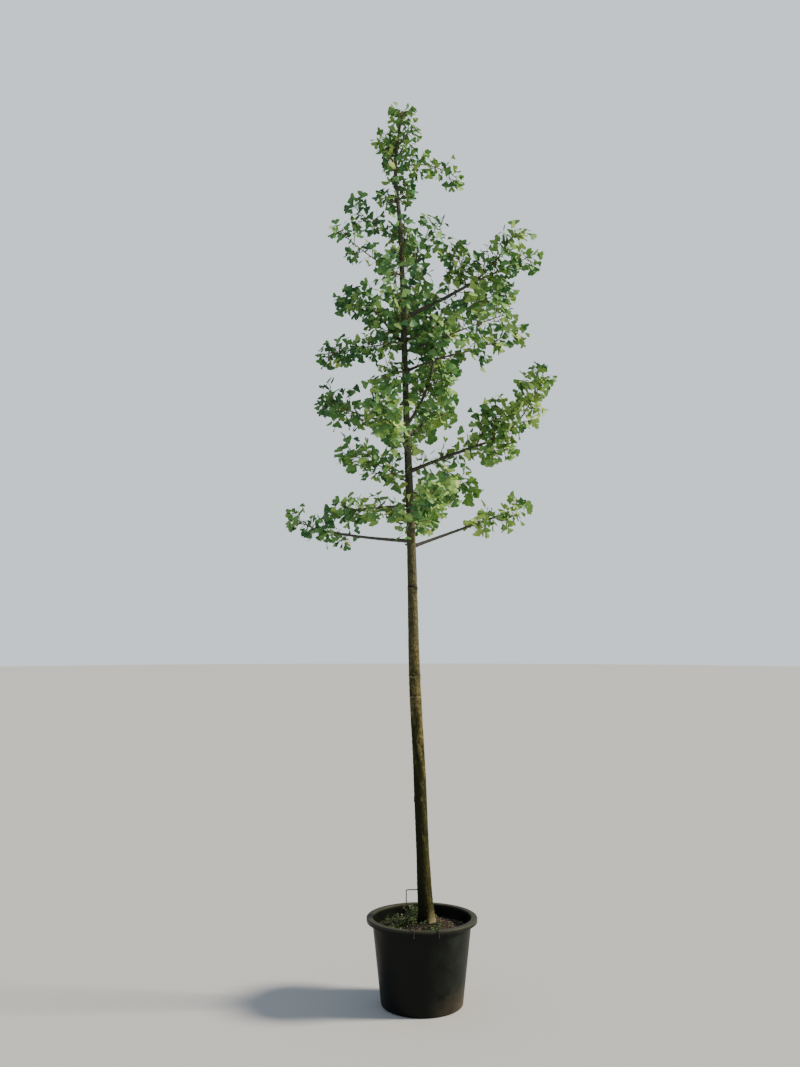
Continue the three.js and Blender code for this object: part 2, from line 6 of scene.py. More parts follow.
import bpy
import numpy as np
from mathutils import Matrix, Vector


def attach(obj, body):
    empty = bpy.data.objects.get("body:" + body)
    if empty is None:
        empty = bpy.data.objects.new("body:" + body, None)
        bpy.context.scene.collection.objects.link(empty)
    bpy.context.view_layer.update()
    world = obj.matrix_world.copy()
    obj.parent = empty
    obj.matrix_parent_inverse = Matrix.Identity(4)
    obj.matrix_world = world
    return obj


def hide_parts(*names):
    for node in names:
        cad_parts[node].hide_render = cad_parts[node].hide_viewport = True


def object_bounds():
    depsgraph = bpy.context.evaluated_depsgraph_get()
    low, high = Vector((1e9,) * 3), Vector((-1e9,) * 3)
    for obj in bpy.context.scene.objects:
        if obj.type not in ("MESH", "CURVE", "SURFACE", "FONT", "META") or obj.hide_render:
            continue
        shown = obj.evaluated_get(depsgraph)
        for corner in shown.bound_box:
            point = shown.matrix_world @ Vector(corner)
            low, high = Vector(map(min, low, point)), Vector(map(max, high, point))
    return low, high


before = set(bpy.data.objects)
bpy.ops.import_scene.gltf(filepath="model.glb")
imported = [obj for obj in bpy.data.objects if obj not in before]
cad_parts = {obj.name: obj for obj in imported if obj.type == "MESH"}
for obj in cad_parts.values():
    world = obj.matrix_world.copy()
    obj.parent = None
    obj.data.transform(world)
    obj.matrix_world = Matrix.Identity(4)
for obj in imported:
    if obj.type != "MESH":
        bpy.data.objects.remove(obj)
cadLow, cadHigh = [np.array(corner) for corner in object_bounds()]
body = "root"
upward = np.array([0.0, 0.0, 1.0])
mm = 0.001

# Camera, light and floor

cameraView = {
    "place": (-0.0988, -5.0, 1.708),
    "rise": 4.685,  # the camera looks up by this much
    "lens": 36.44,
    "sensor": 36.0,  # height of the sensor, as the picture is upright
}
studio = {
    "floorRadius": 40.0,
    "floorSides": 96,
    "floorGap": 0.5 * mm,  # the floor lies this far under the pot
    "floorColour": "#ced1d5",
    "skyColour": "#dfe9f4",
    "skyStrength": 0.46,
    "backdropColour": "#dbe5ea",  # what the camera sees behind the plant
    "backdropStrength": 1.25,
    "keyColour": "#fff0d6",
    "keyStrength": 5.8,
    "keyBearing": -2.0,  # the light comes from the right
    "keyRise": 32.0,
    "keySoftness": 12.0,  # degrees across
}


def hexColour(code):
    # sRGB to linear: c / 12.92 below 0.04045, otherwise ((c + 0.055) / 1.055) ** 2.4
    parts = [int(code[i:i + 2], 16) / 255 for i in (1, 3, 5)]
    linear = [c / 12.92 if c <= 0.04045 else ((c + 0.055) / 1.055) ** 2.4 for c in parts]
    return (*linear, 1.0)


def setInputs(node, inputs):
    # Inputs by name or number, or a list of the first ones. A socket is linked, and so is a node, by its
    # first output. A hex code becomes a colour.
    for name, value in inputs.items() if isinstance(inputs, dict) else enumerate(inputs):
        if isinstance(value, bpy.types.Node):
            value = value.outputs[0]
        if isinstance(value, bpy.types.NodeSocket):
            node.id_data.links.new(value, node.inputs[name])
        else:
            node.inputs[name].default_value = hexColour(value) if isinstance(value, str) else value


def addNode(owner, kind, inputs=(), **settings):
    node = owner.node_tree.nodes.new(f"ShaderNode{kind}")
    for key, value in settings.items():
        setattr(node, key, value)
    setInputs(node, inputs)
    return node


def startMaterial(name, colour, roughness, noise=None, relief=None, ior=1.5):
    # The noise is given by scale, detail and roughness, and a relief that follows it by strength and depth.
    # Every pattern's scale is how many of its marks come to a metre: 160 gives marks of 6 mm.
    material = bpy.data.materials.new(name)
    material.use_nodes = True
    material.diffuse_color = hexColour(colour)
    shader = material.node_tree.nodes["Principled BSDF"]
    setInputs(shader, {"Base Color": colour, "Roughness": roughness, "IOR": ior})
    if noise:
        place = addNode(material, "TexCoord").outputs["Object"]
        noise = addNode(material, "TexNoise", {
            "Vector": place, "Scale": noise[0], "Detail": noise[1], "Roughness": noise[2]})
    if relief:
        bump = addNode(material, "Bump", {"Height": noise, "Strength": relief[0], "Distance": relief[1]})
        setInputs(shader, {"Normal": bump})
    return material, shader, noise


def layered(material, colour, layers):
    # A layer is a colour, the factor that brings it out, the range of that factor, and the layer's strength
    for code, factor, low, high, strength in layers:
        share = addNode(material, "MapRange", [factor, low, high, 0, strength])
        mixed = addNode(material, "Mix", {0: share, 6: colour, 7: code}, data_type="RGBA")
        colour = mixed.outputs[2]
    return colour


def mottled(name, colour, roughness, noise, tones, relief=None, ior=1.5):
    # One colour, darker and lighter by these factors where the noise is low and high
    material, shader, noise = startMaterial(name, colour, roughness, noise, relief, ior)
    tone = addNode(material, "MapRange", [noise, 0.3, 0.7, *tones])
    mixed = addNode(material, "Mix", {0: 1.0, 6: colour, 7: tone}, data_type="RGBA", blend_type="MULTIPLY")
    setInputs(shader, {"Base Color": mixed.outputs[2]})
    return material


def addObject(name, data):
    added = bpy.data.objects.new(name, data)
    bpy.context.scene.collection.objects.link(added)
    return added


camera = addObject("photoCamera", bpy.data.cameras.new("photoCamera"))
camera.data.sensor_fit = "VERTICAL"
camera.data.sensor_height = cameraView["sensor"]
camera.data.lens = cameraView["lens"]
camera.location = cameraView["place"]
camera.rotation_euler = (math.radians(90 + cameraView["rise"]), 0, 0)
bpy.context.scene.camera = camera

key = addObject("keyLight", bpy.data.lights.new("keyLight", "SUN"))
key.data.energy = studio["keyStrength"]
key.data.color = hexColour(studio["keyColour"])[:3]
key.data.angle = math.radians(studio["keySoftness"])
key.rotation_euler = (
    math.radians(90 - studio["keyRise"]), 0, math.radians(90 + studio["keyBearing"]))

world = bpy.data.worlds.new("studioSky")
world.use_nodes = True
sky = world.node_tree.nodes["Background"]
setInputs(sky, {"Color": studio["skyColour"], "Strength": studio["skyStrength"]})
backdrop = addNode(world, "Background", {
    "Color": studio["backdropColour"], "Strength": studio["backdropStrength"]})
seen = addNode(world, "LightPath").outputs["Is Camera Ray"]
whole = addNode(world, "MixShader", [seen, sky, backdrop])
setInputs(world.node_tree.nodes["World Output"], {"Surface": whole})
bpy.context.scene.world = world


# Shapes. A grid is rows of rings, and every array of faces holds triangles.


def unit(vectors):
    return vectors / np.linalg.norm(vectors, axis=-1, keepdims=True)


def bell(distance, width):
    # A bump: e to the power of minus (distance / width)^2
    return np.exp(-((distance / width) ** 2))


def turns(count):
    # Even steps round a circle
    return np.arange(count) * 2 * np.pi / count


def polar(radius, turn, height):
    # Points at turns about +Z
    return np.stack(np.broadcast_arrays(radius * np.cos(turn), radius * np.sin(turn), height), axis=-1)


def heading(bearing, rise):
    # Unit vectors: cos rise along the bearing, and sin rise upward
    lift = np.radians(rise)
    return polar(np.cos(lift), np.radians(bearing), np.sin(lift))


def smoothLine(points, count):
    # A centripetal Catmull-Rom curve: a cubic between each two points, whose slopes weigh the
    # chords by the root of their lengths. It is then cut into count even steps.
    p = np.vstack([2 * points[0] - points[1], points, 2 * points[-1] - points[-2]])
    a, b, c, d = p[:-3], p[1:-2], p[2:-1], p[3:]
    ab, bc, cd = [np.sqrt(np.linalg.norm(v - u, axis=1))[:, None] for u, v in ((a, b), (b, c), (c, d))]
    slopeB = ((b - a) / ab - (c - a) / (ab + bc)) * bc + (c - b)
    slopeC = ((d - c) / cd - (d - b) / (bc + cd)) * bc + (c - b)
    fineSteps = 24  # between two points
    t = np.linspace(0, 1, fineSteps, endpoint=False)[:, None, None]
    fine = (2 * t**3 - 3 * t**2 + 1) * b + (t**3 - 2 * t**2 + t) * slopeB
    fine = fine + (3 * t**2 - 2 * t**3) * c + (t**3 - t**2) * slopeC
    fine = np.vstack([fine.transpose(1, 0, 2).reshape(-1, 3), points[-1]])
    far = np.concatenate([[0], np.cumsum(np.linalg.norm(np.diff(fine, axis=0), axis=1))])
    even = np.linspace(0, far[-1], count + 1)
    return np.stack([np.interp(even, far, fine[:, k]) for k in range(3)], axis=1)


def along(line, share):
    # Values at shares of a line's length
    spot = np.asarray(share) * (len(line) - 1)
    return np.stack([np.interp(spot, np.arange(len(line)), line[:, k]) for k in range(3)], axis=-1)


def placesOn(line, share):
    # Points at shares of a line's length, and the line's directions there
    return along(line, share), unit(along(np.gradient(line, axis=0), share))


def lengthOf(line):
    return np.sum(np.linalg.norm(np.diff(line, axis=0), axis=1))


def rays(starts, ahead, length, points, rise=0.0):
    # Paths that run ahead and bend up, by a share of their length times the square of the way
    t = np.linspace(0, 1, points)[None, :, None]
    length = length[:, None, None]
    return starts[:, None] + ahead[:, None] * length * t + upward * rise * length * t**2


def ringFaces(rows, sides):
    # Triangles of a tube of rings, with a pole before the first ring and one after the last
    i, j = np.meshgrid(np.arange(rows - 1), np.arange(sides), indexing="ij")
    a, b = i * sides + j, i * sides + (j + 1) % sides
    walls = np.stack([a, b, b + sides, a, b + sides, a + sides], axis=-1).reshape(-1, 3)
    j = np.arange(sides)
    k, last = (j + 1) % sides, (rows - 1) * sides
    start = np.stack([np.full(sides, rows * sides), k, j], axis=-1)
    end = np.stack([np.full(sides, rows * sides + 1), last + j, last + k], axis=-1)
    return np.concatenate([walls, start, end])


def sweep(paths, radii, sides, side=None):
    # Every path point gets a ring: point + radius * (cos turn * side + sin turn * other), where
    # side is square to the path and other is square to both.
    ahead = unit(np.gradient(paths, axis=1))
    if side is None:
        whole = unit(paths[:, -1] - paths[:, 0])
        steep = np.abs(whole[:, 2:]) > 0.9
        side = np.where(steep, np.array([1.0, 0.0, 0.0]), upward)
    side = np.broadcast_to(side[:, None], paths.shape)
    side = unit(side - ahead * np.sum(side * ahead, axis=-1, keepdims=True))
    other = np.cross(ahead, side)
    turn = turns(sides)
    radii = radii[..., None] if radii.ndim == 2 else radii
    across = (radii * np.cos(turn))[..., None] * side[:, :, None]
    across = across + (radii * np.sin(turn))[..., None] * other[:, :, None]
    rings = (paths[:, :, None] + across).reshape(len(paths), -1, 3)
    points = np.concatenate([rings, paths[:, :1], paths[:, -1:]], axis=1)
    return spread(points, ringFaces(paths.shape[1], sides))


def thinPaths(paths, ends, sides):
    # Many thin paths, by their first and last radius
    return sweep(paths, np.linspace(*ends, paths.shape[1])[None].repeat(len(paths), axis=0), sides)


def limb(line, radius, bearing):
    # One limb whose radius also differs round it
    return sweep(line[None], radius[None], radius.shape[1], heading(bearing + 90.0, 0.0)[None])


def spread(points, faces):
    # Many copies of one set of faces, each on its own points
    step = np.arange(len(points))[:, None, None] * points.shape[1]
    return points.reshape(-1, 3), (faces[None] + step).reshape(-1, 3)


def joined(shapes):
    # Several shapes as one, with the faces of each counted on from the points before it
    starts = np.cumsum([0] + [len(points) for points, _ in shapes])
    faces = [part + start for (_, part), start in zip(shapes, starts)]
    return np.concatenate([points for points, _ in shapes]), np.concatenate(faces)


def turned(profile, sides):
    # Profile points (radius, height) from one pole on the axis to the other, turned about +Z
    middle = profile[1:-1]
    rings = polar(middle[:, :1], turns(sides), middle[:, 1:])
    poles = [[0, 0, profile[0][1]], [0, 0, profile[-1][1]]]
    return np.vstack([rings.reshape(-1, 3), poles]), ringFaces(len(middle), sides)


def addPiece(name, shape, material, nodes, marks=None, sharp=None):
    # Marks are values at the points, which the material reads by name
    points, faces = shape
    mesh = bpy.data.meshes.new(name)
    mesh.vertices.add(len(points))
    mesh.loops.add(faces.size)
    mesh.polygons.add(len(faces))
    mesh.vertices.foreach_set("co", np.ascontiguousarray(points, np.float32).ravel())
    mesh.loops.foreach_set("vertex_index", faces.astype(np.int32).ravel())
    mesh.polygons.foreach_set("loop_start", np.arange(len(faces), dtype=np.int32) * 3)
    mesh.update(calc_edges=True)
    mesh.polygons.foreach_set("use_smooth", np.ones(len(faces), bool))
    if sharp:
        mesh.set_sharp_from_angle(angle=math.radians(sharp))
    for mark, values in (marks or {}).items():
        mesh.attributes.new(mark, "FLOAT", "POINT").data.foreach_set(
            "value", np.ascontiguousarray(values, np.float32).ravel())
    mesh.materials.append(material)
    piece = addObject(name, mesh)
    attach(piece, body)
    if nodes:
        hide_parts(*nodes)


def waves(random, count, rounds, lengths, turn, height):
    # A field that closes round a limb: a sum of sines of (whole number * turn + height / length)
    total = 0
    for _ in range(count):
        n = random.integers(rounds[0], rounds[1] + 1)
        rate = 2 * np.pi / random.uniform(*lengths) * random.choice([-1, 1])
        total = total + np.sin(n * turn + rate * height + random.uniform(0, 2 * np.pi))
    return total / math.sqrt(count)


def makeFloor():
    # One flat disc, a fan of triangles about its middle
    sides = studio["floorSides"]
    rim = polar(studio["floorRadius"], turns(sides), 0.0)
    points = np.vstack([rim, [[0, 0, 0]]]) - upward * studio["floorGap"]
    mesh = bpy.data.meshes.new("floor")
    mesh.from_pydata(points.tolist(), [], [(i, (i + 1) % sides, sides) for i in range(sides)])
    mesh.materials.append(startMaterial("pale matt painted studio floor", studio["floorColour"], 0.9)[0])
    addObject("floor", mesh)


makeFloor()
print("stage: camera, light and floor are set")

# Pot

pot = {
    "height": 0.385,
    "lipRadius": 0.250,
    "lipDrop": 0.018,
    "lipRounding": 0.005,
    "wallTopRadius": 0.224,
    "footRadius": 0.184,
    "footRounding": 0.012,
    "wall": 0.003,
    "wallStart": 0.03,  # height where the wall's even rings start
    "besideCorner": 4 * mm,  # rings this close to a corner keep it crisp
    "besideEdge": 3 * mm,
    "dustHeight": 0.17,  # splashed soil has dried up to here
    "sides": 160,
}


def wallRadius(height):
    # The wall leans out evenly from its foot to its top
    share = height / (pot["height"] - pot["lipDrop"])
    return pot["footRadius"] + (pot["wallTopRadius"] - pot["footRadius"]) * share


def arc(radius, height, size, fromAngle, toAngle, steps=6):
    # Profile points round a middle: out by size * cos angle, and up by size * sin angle
    angle = np.radians(np.linspace(fromAngle, toAngle, steps + 1))
    return np.stack([radius + size * np.cos(angle), height + size * np.sin(angle)], axis=-1)


def ramp(start, end, steps):
    # Even steps along a straight stretch of a profile
    share = np.linspace(0, 1, steps + 1)[:, None]
    return np.array(start) * (1 - share) + np.array(end) * share


footMiddle = wallRadius(pot["footRounding"]) - pot["footRounding"]


def makePot():
    # One profile, turned: out along the underside, up the wall, out and down behind the rolled lip, up over
    # the lip, and down inside to the floor
    top, lip, wall, rounding = pot["height"], pot["lipRadius"], pot["wall"], pot["lipRounding"]
    outer, foot, start = pot["wallTopRadius"], pot["footRounding"], pot["wallStart"]
    inside, drop, under = outer - wall, top - pot["lipDrop"], top - wall
    corner, edge = pot["besideCorner"], pot["besideEdge"]
    profile = np.vstack([
        [[0, 0]],
        ramp((0.02, 0), (footMiddle - 0.01, 0), 6),
        arc(footMiddle, foot, foot, -90, 0),
        ramp((wallRadius(start), start), (outer, drop), 24),
        ramp((outer, drop + corner), (outer, under), 3),
        ramp((outer + corner, under), (lip - wall, under), 3),
        ramp((lip - wall, under - edge), (lip - wall, drop), 3),
        arc(lip - wall / 2, drop, wall / 2, 180, 360, 4),
        ramp((lip, drop + edge), (lip, top - rounding), 3),
        arc(lip - rounding, top - rounding, rounding, 10, 90),
        arc(inside + rounding, top - rounding, rounding, 90, 180),
        ramp((inside, top - 0.02), (wallRadius(start) - wall, start), 12),
        arc(footMiddle, foot, foot - wall, 0, -90, 4),
        [[0, wall]],
    ])
    addPiece("potShell", turned(profile, pot["sides"]), makePotPlastic(), ["pot"], sharp=50)


def makePotPlastic():
    # Injection moulded polypropylene, black: a satin shell with a faint grey green bloom, stronger on the
    # right where it is partly painted sheen from the key light, scuffed along the lip, and brown low down on
    # that side where splashed soil has dried
    black = "#080b09"
    material, shader, cloud = startMaterial(
        "injection moulded black polypropylene", black, 0.45, (14, 6, 0.65), ior=1.49)  # patches of 70 mm
    place = addNode(material, "TexCoord").outputs["Object"]
    axes = addNode(material, "SeparateXYZ", [place]).outputs
    low = addNode(material, "MapRange", [axes["Z"], 0, pot["dustHeight"], 1, 0])
    # The right side, where the key light falls: it carries the painted sheen in the bloom, and the real dust
    sheenAndDustSide = addNode(material, "MapRange", [axes["X"], 0.02, 0.16, 0.25])
    rim = addNode(material, "MapRange", [axes["Z"], 0.372, pot["height"]])
    stretch = addNode(material, "Mapping", {"Vector": place, "Scale": (320, 320, 900)})  # scuffs of 3 x 1 mm
    scratch = addNode(material, "TexNoise", {"Vector": stretch, "Scale": 1, "Detail": 3})
    bloomAndSheen = addNode(material, "MapRange", [cloud, 0.36, 0.72, 0, 0.34])
    worn = addNode(material, "MapRange", [scratch, 0.35, 0.8, 0.35, 0.6])
    splashed = addNode(material, "Math", [low, cloud], operation="MULTIPLY")
    bloomAndSheen, worn, dust = [
        addNode(material, "Math", [a, b], operation="MULTIPLY")
        for a, b in ((bloomAndSheen, sheenAndDustSide), (worn, rim), (splashed, sheenAndDustSide))]
    # The grey green bloom is partly the plastic's own and partly painted sheen on the lit right side
    colour = layered(material, black, [
        ("#39453b", bloomAndSheen, 0, 1, 1), ("#5b5c4e", worn, 0, 1, 1), ("#564a3b", dust, 0.12, 0.5, 0.45)])
    rough = addNode(material, "MapRange", [cloud, 0.3, 0.7, 0.38, 0.56])
    # The moulded grain, drawn at 1 mm, coarser than it is, to show
    grain = addNode(material, "TexNoise", {"Vector": place, "Scale": 900, "Detail": 2})
    bump = addNode(material, "Bump", {"Height": grain, "Strength": 0.25, "Distance": 0.3 * mm})
    setInputs(shader, {"Base Color": colour, "Specular IOR Level": 0.14, "Roughness": rough, "Normal": bump})
    return material


makePot()
print("pot: made")

# Root ball: potting mix with crumbs, chips, grit and moss on its surface

soil = {
    "wallHeight": 0.330,
    "footHeight": 0.360,
    "footRadius": 0.070,
    "base": 4 * mm,  # height of its underside
    "relief": 2.6 * mm,
    "waveCount": 26,
    "mossBearing": 190.0,  # the greener side
    "trunkAside": 21 * mm,  # the trunk comes up this far to the right of the middle
    "rows": 60,
    "sides": 200,
}
crumbs = {  # what each kind is, its colour and number, its smallest and largest size, and its share of height
    "chips": ("composted pine bark chips", "#4c3b29", 420, (5 * mm, 14 * mm), 0.35),  # ragged, mid brown
    "crumbs": ("peat crumbs", "#241c14", 1500, (2.5 * mm, 8 * mm), 0.7),  # dull and dark
    "grit": ("crushed stone grit", "#aaa28e", 620, (2 * mm, 6 * mm), 0.75),  # pale dots
    "moss": ("cushion moss", "#44551f", 700, (4 * mm, 10 * mm), 0.6),  # soft olive tufts
}
strewing = {  # tries for each, first and last share of the soil's area, and clearance of the trunk's middle
    "crumbs": (12, 0.02, 0.96, 0.044),
    "seedlings": (14, 0.01, 0.88, 0.050),
}
soilEdge = wallRadius(soil["wallHeight"]) - pot["wall"] - 0.5 * mm
soilSeed = np.random.default_rng(11)
soilWaves = [
    (soilSeed.uniform(14, 130, 2) * soilSeed.choice([-1, 1], 2), soilSeed.uniform(0, 7))
    for _ in range(soil["waveCount"])]


def soilHeight(x, y):
    # A dome that falls by a cosine from the trunk's foot to the wall, with a sum of sines on it
    radius = np.hypot(x, y)
    share = np.clip((soilEdge - radius) / (soilEdge - soil["footRadius"]), 0, 1)
    fall = (soil["footHeight"] - soil["wallHeight"]) * np.cos(share * np.pi / 2)
    lumps = sum(np.sin(rate[0] * x + rate[1] * y + phase) for rate, phase in soilWaves)
    return soil["footHeight"] - fall + soil["relief"] * (0.45 + 0.75 * lumps / math.sqrt(soil["waveCount"]))


def mossiness(x, y):
    # Greener on one side and close to the trunk, in patches
    turn = np.arctan2(y, x) - math.radians(soil["mossBearing"])
    patch = np.sin(31 * x + 12) * np.sin(27 * y + 4) + 0.6 * np.sin(63 * x - 51 * y)
    near = bell(np.hypot(x - 0.02, y), 0.085)
    return np.clip(0.34 * np.cos(turn) + 0.95 * near + 0.42 * patch - 0.1, 0, 1)


def makeRootBall():
    # Rings from the underside up the side to the wall, then in over the surface, each point at soilHeight
    turn = turns(soil["sides"])
    surface = polar(soilEdge * np.linspace(1, 0.01, soil["rows"])[:, None], turn, 0.0)
    surface[..., 2] = soilHeight(surface[..., 0], surface[..., 1])
    base, inset = soil["base"], 4 * mm
    side = np.array([
        [footMiddle, base], [wallRadius(0.02) - inset, 0.02], [soilEdge, soil["wallHeight"] - 0.012]])
    rings = np.concatenate([polar(side[:, :1], turn, side[:, 1:]), surface])
    points = np.vstack([rings.reshape(-1, 3), [[0, 0, base], [0, 0, soil["footHeight"]]]])
    shape = points, ringFaces(len(rings), soil["sides"])
    green = mossiness(points[:, 0], points[:, 1])
    addPiece("rootBall", shape, makeSoil(), ["root_ball"], {"green": green})


def makeSoil():
    # Peat and composted bark: dark brown and crumbly, with a thin green skin where it stays damp
    material, shader, lump = startMaterial(
        "peat and composted bark potting mix", "#2c2118", 0.95, (160, 8, 0.7), (0.9, 3 * mm))  # 6 mm lumps
    place = addNode(material, "TexCoord").outputs["Object"]
    speck = addNode(material, "TexVoronoi", {"Vector": place, "Scale": 260}).outputs["Distance"]  # 4 mm
    green = addNode(material, "Attribute", attribute_name="green").outputs["Fac"]
    damp = addNode(material, "Math", [green, lump], operation="MULTIPLY")
    colour = layered(material, "#15110c", [
        ("#382c1f", lump, 0.35, 0.7, 1.0),
        ("#8a7a62", speck, 0.12, 0.05, 0.6),
        ("#3c4b1d", damp, 0.12, 0.4, 0.85),
    ])
    setInputs(shader, {"Base Color": colour})
    return material


def strewn(count, kind, odds, random):
    # Random places on the soil, clear of the trunk. Odds are the chance of a bare place, and what moss adds.
    tries, first, last, clearance = strewing[kind]
    tries = tries * count
    radius = soilEdge * np.sqrt(random.uniform(first, last, tries))
    turn = random.uniform(0, 2 * np.pi, tries)
    x, y = radius * np.cos(turn), radius * np.sin(turn)
    clear = np.hypot(x - soil["trunkAside"], y) > clearance
    kept = (random.uniform(0, 1, tries) < odds[0] + odds[1] * mossiness(x, y)) & clear
    return x[kept][:count], y[kept][:count]


def makeCrumbs(kind, random):
    # Each crumb is a ring of six uneven corners between two poles, laid flat and half sunk
    finish, colour, wanted, span, flat = crumbs[kind]
    x, y = strewn(wanted, "crumbs", (0, 1) if kind == "moss" else (1, -0.8), random)
    count, sides = len(x), 6
    size = random.uniform(*span, count)
    spin = turns(sides) + random.uniform(0, 2 * np.pi, (count, 1))
    reach = size[:, None] / 2 * random.uniform(0.6, 1.1, (count, sides))
    lift = size * flat / 2
    ring = polar(reach, spin, lift[:, None] * random.uniform(-0.3, 0.3, (count, sides)))
    astray = random.uniform(-0.1, 0.1, (2, count, 2)) * size[:, None]
    poles = np.stack([astray[0], astray[1], np.stack([-lift, lift], axis=-1)], axis=-1)
    points = np.concatenate([ring, poles], axis=1)
    tilt = random.uniform(-0.5, 0.5, (count, 1))
    points[..., 2] = points[..., 2] + tilt * points[..., 0]
    points = points + np.stack([x, y, soilHeight(x, y) + 0.25 * lift], axis=-1)[:, None]
    material = mottled(finish, colour, 0.9, (120, 3, 0.5), (0.55, 1.35), (0.6, 1 * mm))  # spots of 8 mm
    addPiece(f"soil{kind.capitalize()}", spread(points, ringFaces(1, sides)), material, [],
             sharp=35)


makeRootBall()
for number, kind in enumerate(crumbs):
    makeCrumbs(kind, np.random.default_rng(31 + number))
print("root ball: made")

# Trunk and boughs

trunkStations = [  # height, offset to the right, offset away from the front and diameter, in millimetres
    (360, 21, 0, 82), (420, 17, -2, 71), (650, 5, -4, 59), (1050, -11, -6, 56),
    (1440, -31, -4, 53), (2060, -46, 2, 41), (2750, -71, 6, 30), (3280, -86, 2, 25),
    (3600, -100, 0, 21), (3870, -121, -2, 17), (4030, -106, 0, 12), (4130, -88, 2, 7),
]
trunk = {
    "sides": 100,
    "rows": 960,
    "rootLobes": 5,
    "rootLobeDepth": 0.07,
    "rootLobeFade": 0.060,
    "plateRounds": 19,  # corky plates round the trunk
    "plateLength": 0.028,
    "furrow": 1.7 * mm,  # depth of the fissures at the foot
    "fissureWidth": 0.17,  # as a share of a plate's width
    "crown": 0.5 * mm,  # how far the middle of a plate stands out
    "grain": 0.4 * mm,
    "swell": 0.5 * mm,
    "sunk": 0.010,  # the foot reaches this far under the soil's surface
    "tip": 3 * mm,  # height of the point that closes it
    "damp": (1.36, 0.40),  # algae start at this height and are full this much lower
}
scars = [  # healed cuts: height, bearing, half width, and how far the rim stands out
    (1.860, 300, 0.016, 2.2 * mm), (1.475, 285, 0.014, 2.4 * mm), (1.452, 330, 0.010, 1.6 * mm),
    (1.372, 262, 0.011, 1.6 * mm), (1.150, 40, 0.012, 1.8 * mm), (0.905, 205, 0.013, 2.0 * mm),
    (0.760, 310, 0.010, 1.4 * mm), (1.640, 120, 0.012, 1.8 * mm),
]
rings = [  # where a year's growth began: height, how far it stands out, and how dark and how pale it is
    (1.864, 1.6 * mm, 1.0, 0.7), (1.462, 2.0 * mm, 0.5, 1.0), (1.368, 0.8 * mm, 0.2, 1.0),
    (2.420, 0.9 * mm, 0.6, 0.2), (3.020, 0.9 * mm, 0.6, 0.2), (3.610, 0.8 * mm, 0.6, 0.2),
]
boughs = {  # height, bearing, length, first and last rise, and thickness at both ends, in millimetres
    "leader_shoot": (3215, 350, 285, 62, 90, 10, 7),
    "right_high": (3140, 352, 355, 22, 29, 19, 13),
    "right_back_high": (3024, 25, 330, 28, 34, 14, 10),
    "right_front_high": (2977, 315, 300, 5, 6, 12, 8),
    "right_middle": (2881, 12, 260, 28, 16, 13, 8),
    "steep": (2629, 330, 330, 46, 82, 15, 9),
    "right_long": (2407, 348, 365, 21, 17, 18, 12),
    "right_lowest": (2055, 15, 470, 20, 20, 16, 9),
    "left_lowest": (2083, 172, 455, 3, 12, 17, 8),
    "left_low": (2247, 150, 185, 3, -3, 11, 8),
    "left_middle": (2629, 165, 230, 11, 18, 12, 8),
    "left_rising": (3010, 145, 225, 44, 54, 14, 9),
    "front_high": (3075, 262, 170, 30, 34, 13, 8),
    "back_high": (3095, 82, 230, 32, 30, 15, 9),
    "front_middle": (2490, 256, 230, 24, 18, 14, 9),
    "back_middle": (2565, 66, 270, 26, 28, 15, 9),
    "front_low": (2165, 285, 250, 14, 18, 13, 8),
    "back_low": (2150, 76, 300, 16, 20, 14, 8),
}
limbs = {
    "sides": 18,
    "step": 3.5 * mm,
    "collarSwell": 0.45,
    "collarLength": 0.026,
    "grain": 0.35 * mm,
    "nodeGap": 0.030,  # between the swellings that carry short shoots
    "nodeSwell": 0.10,
}
stations = np.array(trunkStations) * mm
trunkLine = smoothLine(stations[:, [1, 2, 0]], 2400)


def trunkPoint(height):
    # The trunk's middle at a height
    aside = [np.interp(height, trunkLine[:, 2], trunkLine[:, k]) for k in (0, 1)]
    return np.stack(aside + [height], axis=-1)


def trunkRadius(height):
    # Half the diameter, which goes evenly from station to station
    return np.interp(height, stations[:, 0], stations[:, 3]) / 2


def limbLine(start, bearing, rises, length, count):
    # Equal steps keep the bearing while the rise goes evenly from the first to the last
    steps = 6
    lift = rises[0] + (rises[1] - rises[0]) * (np.arange(steps) + 0.5) / steps
    way = np.cumsum(heading(np.full(steps, bearing), lift), axis=0) * length / steps
    return smoothLine(start + np.vstack([[0, 0, 0], way]), count)


boughLines = {
    name: limbLine(trunkPoint(height * mm), bearing, rises, length * mm, round(length * mm / limbs["step"]))
    for name, (height, bearing, length, *rises, _, _) in boughs.items()}


def barkPlates(random, turn, height):
    # Corky plates: their middles are strewn on a lattice that closes round the trunk, and a fissure runs
    # where the second nearest middle is as near as the nearest. This gives the second less the nearest.
    count = trunk["plateRounds"]
    bends = [waves(random, 12, (1, 5), (0.05, 0.25), turn, height) for _ in range(2)]
    u = turn / (2 * np.pi) * count + 0.4 * bends[0]
    v = height / trunk["plateLength"] + 0.35 * bends[1]
    column, row = np.floor(u).astype(int), np.floor(v).astype(int)
    lowest = row.min() - 1
    middles = random.uniform(0.1, 0.9, (row.max() + 2 - lowest, count, 2))
    nearest = second = np.full(u.shape, np.inf)
    for stepU in (-1, 0, 1):
        for stepV in (-1, 0, 1):
            middle = middles[row + stepV - lowest, (column + stepU) % count]
            far = np.hypot(column + stepU + middle[..., 0] - u, row + stepV + middle[..., 1] - v)
            second = np.minimum(second, np.maximum(nearest, far))
            nearest = np.minimum(nearest, far)
    return second - nearest


